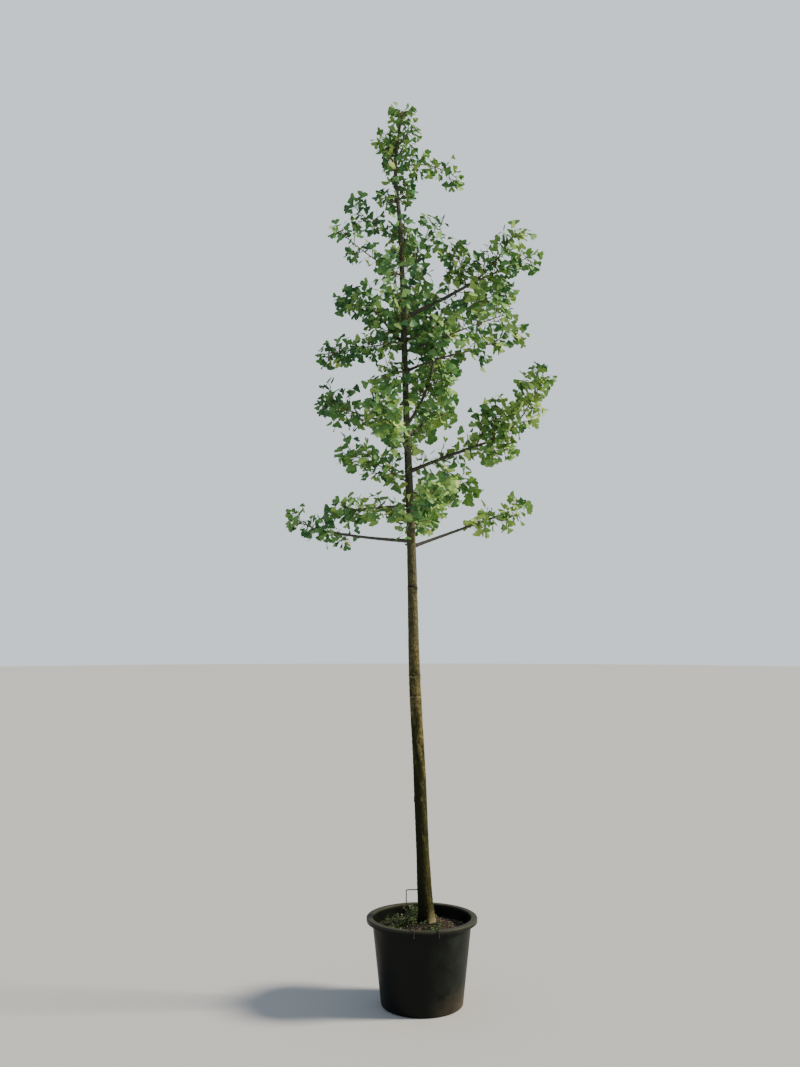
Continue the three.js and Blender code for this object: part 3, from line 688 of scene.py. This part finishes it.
def makeTrunk():
    # Rings about the trunk's line: radius(turn, height) = taper * root lobes + plates - fissures + grain
    # + swell + scars + growth rings. What makes the relief also marks the bark for its material.
    random = np.random.default_rng(23)
    foot = stations[0, 0]
    height = np.linspace(foot, stations[-1, 0], trunk["rows"])[:, None]
    turn = turns(trunk["sides"])[None]
    age = (trunkRadius(height) / trunkRadius(foot)) ** 0.8
    edge = barkPlates(random, turn, height)
    crack = bell(edge, trunk["fissureWidth"])
    grain = waves(random, 48, (6, 30), (0.010, 0.045), turn, height)
    swell = waves(random, 10, (1, 3), (0.15, 0.5), turn, height)
    fade = np.exp(-(height - foot) / trunk["rootLobeFade"])
    radius = trunkRadius(height) * (1 + trunk["rootLobeDepth"] * fade * np.cos(trunk["rootLobes"] * turn))
    radius = radius + age * (trunk["crown"] * edge - trunk["furrow"] * crack)
    radius = radius + age * (trunk["grain"] * grain + trunk["swell"] * swell)
    cut = 0 * radius
    for scarHeight, bearing, size, lift in scars:
        aside = (turn - math.radians(bearing) + np.pi) % (2 * np.pi) - np.pi
        far = np.hypot(aside * trunkRadius(scarHeight), (height - scarHeight) * 1.25) / size
        radius = radius + lift * (1.1 * bell(far - 1, 0.4) - 0.5 * bell(far, 0.6))
        cut = cut + bell(far, 0.75) + 0.5 * bell(far - 1.5, 0.3)
    pale = 0 * radius
    for ringHeight, lift, dark, light in rings:
        off = height - ringHeight - 2.5 * mm * np.sin(2 * turn + ringHeight * 40)
        radius = radius + lift * bell(off, 5 * mm)
        cut = cut + dark * bell(off - 5 * mm, 4 * mm)
        pale = pale + light * bell(off + 2 * mm, 2.5 * mm)
    centre = trunkPoint(height[:, 0])
    centre[0, 2] -= trunk["sunk"]
    points = centre[:, None] + polar(radius, turn, 0.0)
    points = np.vstack([points.reshape(-1, 3), centre[:1], [centre[-1] + upward * trunk["tip"]]])
    algae = waves(random, 24, (1, 6), (0.04, 0.3), turn, height)
    sunward = np.cos(turn - math.radians(studio["keyBearing"]))
    # Painted shade: the side away from the key light, darker in the bark's colour
    shady = np.clip(0.5 - 0.9 * sunward + 0.15 * algae, 0, 1)
    damp = np.clip((trunk["damp"][0] - height) / trunk["damp"][1] + 0.2 * algae, 0, 1)
    marks = {
        "crack": crack * np.clip(1.3 * age, 0, 1),
        "ridge": np.clip(0.3 + 0.6 * edge + 0.25 * grain, 0, 1),
        # Algae low down, and painted shade on the side away from the key light
        "moss": np.clip(0.85 * damp + 0.5 * shady + 0.15 * algae, 0, 1),
        # Painted shade, nearly black, where the low part faces away from the key light
        "paintedDampShade": damp * shady,
        "cut": cut,
        # Pale year rings, and a painted highlight on the foot's side towards the key light
        "pale": pale + 0.8 * np.exp(-(height - foot) / 0.045) * np.clip(sunward + 0.4, 0, 1),
        "young": 1 - age + 0 * turn,
    }
    material = makeTrunkBark(marks)
    marks = {name: np.append(values.ravel(), [0, 0]) for name, values in marks.items()}
    shape = points, ringFaces(trunk["rows"], trunk["sides"])
    addPiece("trunkStem", shape, material, ["trunk"], marks)


def makeTrunkBark(marks):
    # Young bark: corky plates with pale crests and dark fissures between, grey brown high up, and olive with
    # algae towards the ground. Painted shade darkens the side away from the key light, to nearly black green
    # low down, and a painted highlight makes the foot pale on its lit side. Its patches are 45 mm wide, its
    # fibres 3 mm wide and
    # 8 mm long, and its plates 5 mm wide and 17 mm long.
    material, shader, cloud = startMaterial("young fissured tree bark", "#6a6444", 0.9, (22, 5, 0.6))
    place = addNode(material, "TexCoord").outputs["Object"]
    marks = {name: addNode(material, "Attribute", attribute_name=name).outputs["Fac"] for name in marks}
    stretch = addNode(material, "Mapping", {"Vector": place, "Scale": (340, 340, 120)})
    fibre = addNode(material, "TexNoise", {"Vector": stretch, "Scale": 1, "Detail": 7, "Roughness": 0.72})
    bend = addNode(material, "TexNoise", {"Vector": place, "Scale": 90, "Detail": 3}).outputs["Color"]
    bend = addNode(material, "VectorMath", [bend, [0.014] * 3], operation="MULTIPLY")
    bent = addNode(material, "VectorMath", [place, bend], operation="ADD")
    plates = addNode(material, "Mapping", {"Vector": bent, "Scale": (200, 200, 60)})
    plates = addNode(material, "TexVoronoi", {"Vector": plates, "Scale": 1}, feature="DISTANCE_TO_EDGE")
    gap = plates.outputs["Distance"]
    old = addNode(material, "MapRange", [marks["young"], 0.25, 0.6, 1, 0.2])
    fissure = addNode(material, "MapRange", [gap, 0.02, 0.16, 1, 0])
    fissure = addNode(material, "Math", [fissure, old], operation="MULTIPLY")
    colour = layered(material, "#37351f", [
        ("#8a7a34", fibre, 0.36, 0.6, 1.0),
        ("#5a5c32", cloud, 0.45, 0.68, 0.45),
        ("#a8994c", marks["ridge"], 0.62, 0.92, 0.6),
        ("#e6d690", fibre, 0.54, 0.66, 0.8),
        ("#5b6157", marks["young"], 0.2, 0.5, 0.85),
        # Algae green, which also carries the painted shade away from the key light
        ("#2c3208", marks["moss"], 0.1, 0.9, 0.94),
        # Painted shade, nearly black green, low down away from the key light
        ("#141908", marks["paintedDampShade"], 0.05, 0.9, 0.8),
        ("#1c1b13", marks["crack"], 0.15, 0.9, 0.8),
        ("#26241a", fissure, 0.0, 1.0, 0.5),
        # Pale year rings, and the painted highlight on the lit side of the foot
        ("#b3a685", marks["pale"], 0.2, 0.9, 0.7),
        ("#201e19", marks["cut"], 0.1, 0.9, 0.85),
    ])
    deep = addNode(material, "MapRange", [gap, 0, 0.3])
    plated = addNode(material, "Bump", {"Height": deep, "Strength": old, "Distance": 1.0 * mm})
    bump = addNode(material, "Bump", {
        "Height": fibre, "Strength": 1.0, "Distance": 1.8 * mm, "Normal": plated})
    setInputs(shader, {"Base Color": colour, "Specular IOR Level": 0.2, "Normal": bump})
    return material


def makeBoughs(random):
    # Rings about each bough's line: radius(turn, way) = taper * (1 + collar) * (1 + nodes) + rough bark
    shapes = []
    for name, (_, bearing, length, _, _, thick, thin) in boughs.items():
        share = np.linspace(0, 1, len(boughLines[name]))[:, None]
        far = share * (length * mm)
        radius = (thick + (thin - thick) * share) / 2 * mm
        radius = radius * (1 + limbs["collarSwell"] * np.exp(-far / limbs["collarLength"]))
        knots = np.clip(np.cos(2 * np.pi * far / limbs["nodeGap"]), 0, 1) ** 8
        rough = waves(random, 16, (2, 8), (0.012, 0.07), turns(limbs["sides"])[None], far)
        radius = radius * (1 + limbs["nodeSwell"] * knots) + limbs["grain"] * rough
        shapes.append(limb(boughLines[name], radius, bearing))
    addPiece("boughs", joined(shapes), makeTwigBark("grey brown branch bark", "#35362f", "#5c5b50"),
             [f"bough_{name}" for name in boughs])


def makeTwigBark(name, dark, pale):
    # Thin bark on shoots: smooth with a dull sheen, and flecked with pale spots where the skin lifts, drawn
    # at 5 mm, coarser than they are, to show
    material, shader, cloud = startMaterial(name, dark, 0.75, (180, 5, 0.65), (0.5, 0.8 * mm))
    setInputs(shader, {"Base Color": layered(material, dark, [(pale, cloud, 0.35, 0.68, 1.0)])})
    return material


makeTrunk()
makeBoughs(np.random.default_rng(29))
print("trunk and boughs: made")

# Wire handles

handle = {
    "wire": 5.0 * mm,
    "width": 0.108,
    "legReach": 0.248,
    "holeHeight": 0.356,
    "endInside": 14 * mm,
    "bend": 7 * mm,
    "bendPoints": 9,
    "raisedTop": 0.442,
    "foldedTop": 0.400,
    "foldedReach": 0.192,
    "bearings": (93.5, 273.5),  # of the back and of the front handle
    "sides": 14,
}


def handleShape(bearing, folded):
    # Straight stretches joined by parabolas that touch them a bend's length from each corner
    half, hole, reach = handle["width"] / 2, handle["holeHeight"], handle["legReach"]
    end = wallRadius(hole) - pot["wall"] - handle["endInside"]
    leg = [(half, end, hole), (half, reach, hole)]
    if folded:
        leg += [(half, reach, pot["height"] + handle["wire"])]
        leg += [(half, handle["foldedReach"], handle["foldedTop"])]
    else:
        leg += [(half, reach, handle["raisedTop"])]
    other = [(-aside, out, up) for aside, out, up in reversed(leg)]
    outward, aside = heading(float(bearing), 0.0), heading(bearing + 90.0, 0.0)
    corners = np.array([out * outward + side * aside + up * upward for side, out, up in leg + other])
    path = [corners[:1]]
    t = np.linspace(0, 1, handle["bendPoints"])[:, None]
    for before, corner, after in zip(corners, corners[1:], corners[2:]):
        start = corner - unit(corner - before) * handle["bend"]
        stop = corner + unit(after - corner) * handle["bend"]
        path.append((1 - t) ** 2 * start + 2 * t * (1 - t) * corner + t**2 * stop)
    path = np.vstack(path + [corners[-1:]])
    neverAhead = outward + aside - 0.6 * upward  # no stretch of the wire runs this way
    thick = np.full((1, len(path)), handle["wire"] / 2)
    return sweep(path[None], thick, handle["sides"], neverAhead[None])


def makeHandles():
    # Drawn steel wire, painted black: a dark satin skin, with a little brown of rust where it has rubbed, in
    # spots of 4 mm
    black = "#121312"
    material, shader, cloud = startMaterial(
        "painted drawn steel wire", black, 0.42, (240, 4, 0.5), (0.4, 0.4 * mm))
    rusty = (cloud, 0.55, 0.66)
    colour = layered(material, black, [("#4a3628", *rusty, 0.45)])
    rough = addNode(material, "MapRange", [*rusty, 0.42, 0.591])
    setInputs(shader, {"Base Color": colour, "Roughness": rough})
    back, front = handle["bearings"]
    addPiece("handleBack", handleShape(back, False), material, ["handle_back"])
    addPiece("handleFront", handleShape(front, True), material, ["handle_front"])


makeHandles()
print("handles: made")

# Foliage: each mass has a stem, twigs round it by the golden turn, and short shoots with leaves

masses = {
    # The height on the trunk where it starts, or the bough whose tip carries it, None for the one of its own
    # name. Then bearing, length, first and last rise, and longest twig, in millimetres, and how much narrower
    # or wider than usual its gaps are.
    "tip": (4105, 30, 34, 80, 84, 40, 0.5),
    "tip_right": (3905, 345, 200, 54, 86, 54, 0.6),
    "tip_left": (3880, 165, 160, 58, 86, 52, 0.7),
    "right_top": (3862, 18, 315, 30, -28, 48, 0.7),
    "spur_left": (3700, 186, 62, 12, 40, 48, 0.8),
    "spur_right": (3735, 20, 50, 15, 40, 50, 0.8),
    "left_top": (3517, 162, 300, 28, 50, 64, 1.1),
    "left_upper": (3340, 198, 365, 24, 38, 66, 1.15),
    "front_top": (3385, 274, 210, 34, 56, 74, 1.3),
    "back_top": (3440, 86, 240, 30, 50, 78, 1.2),
    "leader_shoot": (None, 8, 150, 30, 66, 74, 1.0),
    "right_high_outer": ("right_high", 350, 320, 34, 64, 84, 0.95),
    "right_high_fork": ("right_high", 8, 330, 24, 30, 74, 1.0),
    "right_high_inner": ("right_high", 178, 190, 86, 58, 78, 0.5),
    "right_back_high": (None, 27, 330, 34, 22, 84, 0.9),
    "right_front_high": (None, 318, 290, 8, 4, 90, 1.0),
    "right_middle": (None, 12, 345, 12, 38, 84, 1.15),
    "steep": (None, 330, 130, 84, 80, 92, 0.45),
    "steep_side": (2715, 318, 265, 22, 34, 92, 0.42),
    "right_long_outer": ("right_long", 349, 446, 14, 88, 80, 0.6),
    "right_long_inner": ("right_long", 10, 215, 64, 46, 82, 0.55),
    "right_long_under": ("right_long", 330, 170, -14, -4, 66, 0.6),
    "right_low": (2275, 36, 370, 26, 6, 92, 0.7),
    "right_lowest": (None, 12, 105, 20, 24, 70, 1.0),
    "left_lowest": (None, 172, 120, 20, 34, 70, 1.0),
    "left_low": (None, 152, 225, 2, -6, 88, 0.7),
    "left_short": (2352, 206, 335, 32, 8, 88, 0.7),
    "left_middle": (None, 165, 185, 20, 26, 94, 0.45),
    "left_side": (2881, 232, 190, -4, -40, 62, 0.6),
    "left_drooping": (3029, 190, 375, -12, -12, 64, 0.6),
    "left_rising": (None, 150, 235, 46, 8, 90, 0.6),
    "front_high": (None, 262, 240, 24, 30, 92, 0.85),
    "back_high": (None, 82, 280, 26, 40, 92, 1.0),
    "front_middle": (None, 256, 240, 22, 20, 92, 0.5),
    "back_middle": (None, 66, 260, 26, 30, 92, 0.75),
    "front_low": (None, 285, 215, 16, 12, 88, 0.85),
    "back_low": (None, 76, 220, 18, 14, 88, 0.9),
}
sideways = {"right_high_outer": -5.4, "right_high_fork": 5.4}  # forks stand beside the tip's middle
shortOfTip = {"right_high_inner": 30, "right_long_inner": 30, "right_long_under": 50}  # and these before it
shortTwigs = {"tip_left": 0.45, "tip_right": 0.7}  # share of the longest twig, for a slim tip
bareShare = {  # of a bough, next to the trunk
    "right_lowest": 0.60, "left_lowest": 0.60, "right_long": 0.12, "left_low": 0.25, "steep": 0.55,
    "right_high": 0.35,
}
shownBoughs = ["steep", "right_high", "right_middle", "right_long"]  # leaves hide little of these
growth = {
    "stemTip": 1.4 * mm,  # radius
    "stemStart": 4.4 * mm,  # radius of a stem that leaves the trunk
    "stemStep": 6 * mm,
    "stemSides": 10,
    "stemUneven": 0.06,
    "overlap": 5,  # in millimetres, of a mass's stem and the tip that carries it
    "tipShare": 0.92,  # thickness of the stem, as a share of that tip's
    "besideTipShare": 0.7,
    "stemBare": 0.08,  # share of a stem that carries no leaves, next to its start
    "lastTwig": 0.96,  # twigs end at this share of a stem
    "twigGap": 0.040,  # between twigs along a stem
    "twigLean": 58.0,  # degrees between a twig and its stem
    "twigLift": 0.2,  # how far a twig's end rises, as a share of its length
    "twigShrink": 0.4,  # how much shorter the last twigs are
    "twigRadius": (1.9 * mm, 1.1 * mm),
    "goldenTurn": 137.5,
    "shootGap": 0.031,  # between short shoots along a stem
    "boughShootGap": 0.025,
    "boughTwigGap": 0.047,
    "boughBare": 0.14,  # share of any other bough that carries no leaves
    "boughSpread": 0.085,  # length of the longest twigs on a bough
    "shootLength": (5 * mm, 13 * mm),
    "shootRadius": (2.4 * mm, 2.0 * mm),
    "twigShoots": (0.42, 0.72, 1.0),  # places of leaf clusters along a twig
    "clusterLeaves": (2, 4),
    "moreAtTip": 3,  # leaves that a limb's last cluster has beyond those
    "trunkLeafShare": 0.95,  # size of the leaves on the trunk
    "wideSpread": 84.0,  # a narrower mass has smaller leaves, down to the least share, and wider gaps
    "leastLeafShare": 0.9,
    "thinning": 0.6,
}
leaf = {
    "stalk": (16 * mm, 36 * mm),
    "stalkRadius": (0.75 * mm, 0.75 * mm),
    "stalkSag": 0.22,
    "blade": (26 * mm, 39 * mm),  # from the stalk to the far edge
    "opening": (34.0, 56.0),  # half the fan's angle, in degrees
    "lean": (25, 80),  # degrees between a stalk and its shoot
    "droop": (0.2, 1.5),  # how far the blade turns down from its stalk
    "notch": (0.02, 0.34),  # depth of the middle notch, as a share of the blade
    "notchWidth": 0.13,  # radians
    "fold": (-0.12, 0.25),  # rise of a blade's halves from its middle line
    "sag": (-0.15, 0.25),  # how far the far edge hangs, as a share of the blade
    "thick": 0.7 * mm,
    "thickest": 0.55,  # on the way from the stalk to the edge
    "columns": 11,
    "trunkGap": 9 * mm,
    "overBox": 6 * mm,  # leaves end this far beyond the solids at most
    "window": 0.028,  # half the width of the strip in front of the trunk where it shows between the leaves
    "windowShare": 0.6,  # share of the leaves that are missing there
    "limbWindow": 0.020,  # the same in front of the boughs that show
    "limbShare": 0.85,
}
leafTints = ["#34613e", "#497c4a", "#639450", "#84ad58", "#a5c364"]
tinting = {  # in steps of tint, from 0 for the darkest
    "usual": 1.7,
    # Painted light: the tints grow brighter towards the key light on the right
    "paintedLightRightward": 1.6,  # brighter by this for each metre to the right
    "middle": -0.08,  # of the crown
    "uneven": 0.8,
    "brighter": 0.8,  # low down and at the very top
    "low": (3.15, 0.5),  # starts at this height and is full this much lower
    "top": (3.8, 0.2),  # starts at this height and is full this much higher
}
trunkShoots = [  # from which height to which on the trunk, and gap, in metres
    (2.06, 2.60, 0.030), (2.60, 2.98, 0.045), (2.98, 3.86, 0.026), (3.86, 4.12, 0.015),
]


def massStem(name, random):
    # A line from the trunk or a bough's tip: radius = thick + (tip - thick) * share^0.8, times slight waves
    start, bearing, length, *rises = masses[name][:5]
    carrier = start or name
    if carrier in boughs:
        share = 1 - shortOfTip.get(name, growth["overlap"]) / boughs[carrier][2]
        spot, ahead = placesOn(boughLines[carrier], share)
        origin = spot + unit(np.cross(ahead, upward)) * sideways.get(name, 0) * mm
        thin = boughs[carrier][6] / 2 * mm
        thick = thin * growth["besideTipShare" if name in shortOfTip else "tipShare"]
    else:
        origin, thick = trunkPoint(start * mm), growth["stemStart"]
    count = max(8, round(length * mm / growth["stemStep"]))
    line = limbLine(origin, bearing, rises, length * mm, count)
    share = np.linspace(0, 1, count + 1)[:, None]
    radius = thick + (growth["stemTip"] - thick) * share**0.8
    uneven = waves(random, 8, (1, 4), (0.01, 0.05), turns(growth["stemSides"])[None], share * length * mm)
    return line, limb(line, radius * (1 + growth["stemUneven"] * uneven), bearing)


def around(ahead, turn):
    # Unit vectors square to ahead, at a turn about it
    level = unit(np.cross(ahead, np.array([0.1, 0.2, 1.0])))
    other = np.cross(ahead, level)
    return level * np.cos(turn)[:, None] + other * np.sin(turn)[:, None]


def growTwigs(line, longest, gap, first, random):
    # A twig at every gap of the stem, each the golden turn on from the last and shorter than it
    leafy = growth["lastTwig"] - first
    count = max(3, round(lengthOf(line) * leafy / gap))
    share = first + leafy * (np.arange(count) + 0.5) / count
    base, ahead = placesOn(line, share)
    turn = np.radians(np.arange(count) * growth["goldenTurn"] + random.uniform(-20, 20, count))
    lean = math.radians(growth["twigLean"])
    length = longest * (1 - growth["twigShrink"] * share) * random.uniform(0.7, 1.1, count)
    lead = ahead * math.cos(lean) + around(ahead, turn) * math.sin(lean)
    return rays(base, lead, length, 5, growth["twigLift"])


def clustersOn(line, gap, first, random):
    # Short shoots along a limb, at even gaps and turning by the golden turn
    count = max(1, round(lengthOf(line) * (1 - first) / gap))
    share = first + (1 - first) * (np.arange(count) + random.uniform(0.2, 0.8, count)) / count
    spot, ahead = placesOn(line, np.clip(share, 0, 1))
    turn = np.radians(np.arange(count) * growth["goldenTurn"] + random.uniform(0, 360))
    return spot, unit(0.85 * around(ahead, turn) + 0.4 * ahead + 0.25 * upward)


def bladeShapes(root, ahead, facing, size, opening, notch, fold, droop):
    # A fan: r(turn) = size * (1 - notch * exp(-(turn / width)^2)) * (1 + 0.16 * s^2 - 0.18 * s^8) with
    # s = turn / opening, and a slight wave. Two skins meet at the edge, folded along the middle and
    # drooping towards the edge.
    size, opening, notch, fold, droop = [values[:, None] for values in (size, opening, notch, fold, droop)]
    columns = leaf["columns"]
    across = unit(np.cross(ahead, facing))
    normal = np.cross(across, ahead)
    s = np.linspace(-1, 1, columns)[None]
    turn = s * opening
    reach = size * (1 - notch * bell(turn, leaf["notchWidth"]))
    reach = reach * (1 + 0.16 * s**2 - 0.18 * s**8) * (1 + 0.035 * np.sin(9 * turn + root[:, :1] * 900))
    skin = leaf["thick"] / 2 * (1 - s**2)

    def row(share, lift):
        r = reach * share
        height = fold * r * np.abs(np.sin(turn)) - droop * r**2 / size + lift * skin
        return (root[:, None] + (r * np.sin(turn))[..., None] * across[:, None]
                + (r * np.cos(turn))[..., None] * ahead[:, None] + height[..., None] * normal[:, None])

    ridge = leaf["thickest"]
    points = np.concatenate([row(1.0, 0), row(ridge, 1), row(ridge, -1)[:, 1:-1], root[:, None]], axis=1)
    rim = np.arange(columns)
    upper = rim + columns
    # The skins share their ends
    lower = np.concatenate([upper[:1], np.arange(columns - 2) + 2 * columns, upper[-1:]])
    early = (rim[:-1] < columns // 2)[:, None]

    def skinFaces(row):
        # The diagonals run away from the nearer end, so that no two faces there have the same corners
        a, b, c, d = row[:-1], row[1:], rim[1:], rim[:-1]
        first = np.where(early, np.stack([a, b, d], -1), np.stack([a, c, d], -1))
        second = np.where(early, np.stack([b, c, d], -1), np.stack([a, b, c], -1))
        third = np.stack([np.full(columns - 1, 3 * columns - 2), b, a], -1)
        return np.concatenate([first, second, third])

    return points, np.concatenate([skinFaces(upper), skinFaces(lower)[:, ::-1]])


def beforeLimb(line, points):
    # Points between the camera and a limb: both are laid on the plane through the trunk, each along its own
    # sight line, and the nearest point of the limb there has to be close and farther away
    view = np.array(cameraView["place"])
    seenLine, seenPoints = [
        view - (spots - view) * view[1] / (spots[:, 1:2] - view[1]) for spots in (line, points)]
    gaps = np.linalg.norm(seenPoints[:, None] - seenLine, axis=2)
    return (gaps.min(axis=1) < leaf["limbWindow"]) & (points[:, 1] < line[np.argmin(gaps, axis=1), 1])


def growLeaves(place, axis, count, tone, scale, random):
    # Leaves stand round a short shoot by the golden turn, on stalks that lean out and sag a little. Most
    # blades hang from their stalk and face away from the trunk.
    owner = np.repeat(np.arange(len(place)), count)
    order = np.arange(len(owner)) - np.repeat(np.cumsum(count) - count, count)
    n = len(owner)
    turn = np.radians(order * growth["goldenTurn"])
    turn = turn + np.repeat(random.uniform(0, 2 * np.pi, len(place)), count)
    lean = np.radians(random.uniform(*leaf["lean"], n))[:, None]
    radial = around(axis[owner], turn)
    lead = unit(axis[owner] * np.cos(lean) + radial * np.sin(lean) + 0.15 * upward)
    small = scale[owner]
    stalks = rays(place[owner], lead, random.uniform(*leaf["stalk"], n) * small, 3, -leaf["stalkSag"])
    fromTrunk = stalks[:, -1] - trunkPoint(stalks[:, -1, 2])
    fromTrunk = unit(fromTrunk * np.array([1, 1, 0]) + 1e-6)
    droop = random.uniform(*leaf["droop"], n)[:, None]
    ahead = unit(lead - upward * droop + random.normal(0, 0.18, (n, 3)))
    facing = unit(0.6 * radial + 0.5 * fromTrunk + 0.3 * upward + random.normal(0, 0.32, (n, 3)))
    size, opening, notch, fold, sag = [
        random.uniform(*leaf[trait], n) for trait in ("blade", "opening", "notch", "fold", "sag")]
    size = size * small
    blades, faces = bladeShapes(stalks[:, -1], ahead, facing, size, np.radians(opening), notch, fold, sag)
    middle = stalks[:, -1] + ahead * size[:, None] * 0.6
    fromTrunk = middle - trunkPoint(middle[:, 2])
    clear = np.linalg.norm(fromTrunk, axis=1) > trunkRadius(middle[:, 2]) + leaf["trunkGap"]
    inside = np.all((blades > cadLow - leaf["overBox"]) & (blades < cadHigh + leaf["overBox"]), axis=(1, 2))
    beforeTrunk = (middle[:, 1] < 0) & (np.abs(fromTrunk[:, 0]) < leaf["window"])
    beforeBough = np.any([beforeLimb(boughLines[name], middle) for name in shownBoughs], axis=0)
    chance = random.uniform(0, 1, n)
    hiding = beforeTrunk & (chance < leaf["windowShare"]) | beforeBough & (chance < leaf["limbShare"])
    kept = clear & inside & ~hiding
    return stalks[kept], blades[kept], faces, tone[owner][kept]


def makeFoliage():
    # The masses, the boughs and the trunk are dressed in this order: with twigs, but for the trunk, and with
    # places for short shoots. Every shoot then gets its leaves.
    random = np.random.default_rng(41)
    stems, twigs, spots = [], [], []
    shootsPerTwig = len(growth["twigShoots"])

    def dress(line, longest, twigGap, shootGap, first, small):
        paths = growTwigs(line, longest, twigGap, first, random)
        twigs.append(paths)
        place, axis = clustersOn(line, shootGap, first, random)
        ends = [along(path, share) for path in paths for share in growth["twigShoots"]]
        leads = np.repeat(unit(paths[:, -1] - paths[:, 0]), shootsPerTwig, axis=0)
        leads = unit(leads + random.normal(0, 0.35, leads.shape))
        place = np.vstack([place, ends, line[-1:]])
        axis = np.vstack([axis, leads, [unit(line[-1] - line[-2])]])
        spots.append((place, axis, np.full(len(place), small), np.arange(len(place)) == len(place) - 1))

    for name, (*_, twig, gaps) in masses.items():
        line, shape = massStem(name, random)
        stems.append(shape)
        small = np.clip(twig / growth["wideSpread"], growth["leastLeafShare"], 1)
        wider = max(growth["wideSpread"] / twig, 1) ** growth["thinning"] * gaps
        longest = twig * mm * shortTwigs.get(name, 1)
        dress(line, longest, growth["twigGap"] * wider, growth["shootGap"] * wider, growth["stemBare"], small)
    for name, line in boughLines.items():
        bare = bareShare.get(name, growth["boughBare"])
        dress(line, growth["boughSpread"], growth["boughTwigGap"], growth["boughShootGap"], bare, 1.0)
    for low, high, gap in trunkShoots:
        stretch = trunkLine[(trunkLine[:, 2] > low) & (trunkLine[:, 2] < high)]
        place, axis = clustersOn(stretch, gap, 0.0, random)
        radial = unit(axis * np.array([1, 1, 0.3]))
        place = place + radial * trunkRadius(place[:, 2])[:, None] * 0.9
        small = np.full(len(place), growth["trunkLeafShare"])
        spots.append((place, radial, small, np.zeros(len(place), bool)))
    place, axis, scale, last = [np.concatenate(values) for values in zip(*spots)]
    shoots = rays(place, axis, random.uniform(*growth["shootLength"], len(place)), 3)
    count = random.integers(growth["clusterLeaves"][0], growth["clusterLeaves"][1] + 1, len(place))
    count = count + growth["moreAtTip"] * last
    # The brighter tints stand to the right, towards the key light, as painted light, and low down and at the
    # very top
    aside, height = place[:, 0] - tinting["middle"], place[:, 2]
    bright = tinting["usual"] + tinting["paintedLightRightward"] * aside + random.normal(0, tinting["uneven"], len(place))
    (low, lowReach), (top, topReach) = tinting["low"], tinting["top"]
    for share in ((low - height) / lowReach, (height - top) / topReach):
        bright = bright + tinting["brighter"] * np.clip(share, 0, 1)
    tone = np.clip(np.round(bright), 0, len(leafTints) - 1).astype(int)
    stalks, blades, faces, tones = growLeaves(shoots[:, -1], axis, count, tone, scale, random)
    foliageNodes = [f"foliage_{name}" for name in masses]
    twigs = thinPaths(np.concatenate(twigs), growth["twigRadius"], 6)
    wood = joined(stems + [twigs, thinPaths(shoots, growth["shootRadius"], 5)])
    bark = makeTwigBark("olive brown shoot bark", "#4f4530", "#7d7049")
    addPiece("shoots", wood, bark, foliageNodes)
    addPiece("leafStalks", thinPaths(stalks, leaf["stalkRadius"], 3),
             makeLeaf("fresh leaf stalk", "#8fa045"), foliageNodes)
    for number, tint in enumerate(leafTints, 1):
        picked = blades[tones == number - 1]
        material = makeLeaf(f"spring leaf, tint {number}", tint)
        addPiece(f"leaves{number}", spread(picked, faces), material, foliageNodes, sharp=60)
        print(f"leaves: {len(picked)} of tint {number}")


def makeLeaf(name, colour):
    # A living leaf: matt and a little waxy, one plain tint, with only faint mottling in spots of 11 mm
    return mottled(name, colour, 0.55, (90, 2, 0.5), (0.86, 1.12), ior=1.42)


seedlings = {
    "count": 190,
    "height": (6 * mm, 30 * mm),
    "tallest": (-0.045, 0.045, 0.12),  # x, y and reach of the spot where they stand taller, behind the trunk
    "taller": 2.0,
    "stemRadius": (0.6 * mm, 0.6 * mm),
    "leaflets": 5,
    "leaflet": (4 * mm, 9 * mm),
    "opening": (34, 52),  # half a leaflet's angle, in degrees
}


def makeSeedlings(random):
    # Small weeds that have come up on the root ball: a leaning stem with a few round leaflets
    x, y = strewn(seedlings["count"], "seedlings", (0, 1), random)
    foot = np.stack([x, y, soilHeight(x, y) - 1 * mm], axis=-1)
    lead = unit(upward + random.normal(0, 0.4, foot.shape) * np.array([1, 1, 0]))
    tallX, tallY, tallReach = seedlings["tallest"]
    near = np.clip(1 - np.hypot(x - tallX, y - tallY) / tallReach, 0, 1)
    length = random.uniform(*seedlings["height"], len(x)) * (1 + seedlings["taller"] * near)
    stems = rays(foot, lead, length, 4)
    leaflets = seedlings["leaflets"]
    total = len(x) * leaflets
    share = np.tile(np.linspace(0.45, 1.0, leaflets), len(x))
    owner = np.repeat(np.arange(len(x)), leaflets)
    root = foot[owner] + (stems[owner, -1] - foot[owner]) * share[:, None]
    spin = np.radians(np.tile(np.arange(leaflets) * growth["goldenTurn"], len(x)))
    spin = spin + random.uniform(0, 6, len(x))[owner]
    ahead = unit(around(lead[owner], spin) + random.uniform(0.0, 0.7, (total, 1)) * upward)
    facing = unit(upward + random.normal(0, 0.3, ahead.shape))
    size = random.uniform(*seedlings["leaflet"], total)
    opening = np.radians(random.uniform(*seedlings["opening"], total))
    plain = np.zeros(total)
    blades, faces = bladeShapes(root, ahead, facing, size, opening, plain, plain + 0.1, plain + 0.1)
    addPiece("seedlingStems", thinPaths(stems, seedlings["stemRadius"], 4),
             makeLeaf("weed seedling stem", "#6f7d48"), [])
    addPiece("seedlingLeaves", spread(blades, faces), makeLeaf("weed seedling leaf", "#536840"), [],
             sharp=60)


makeFoliage()
makeSeedlings(np.random.default_rng(53))
print("foliage: made")
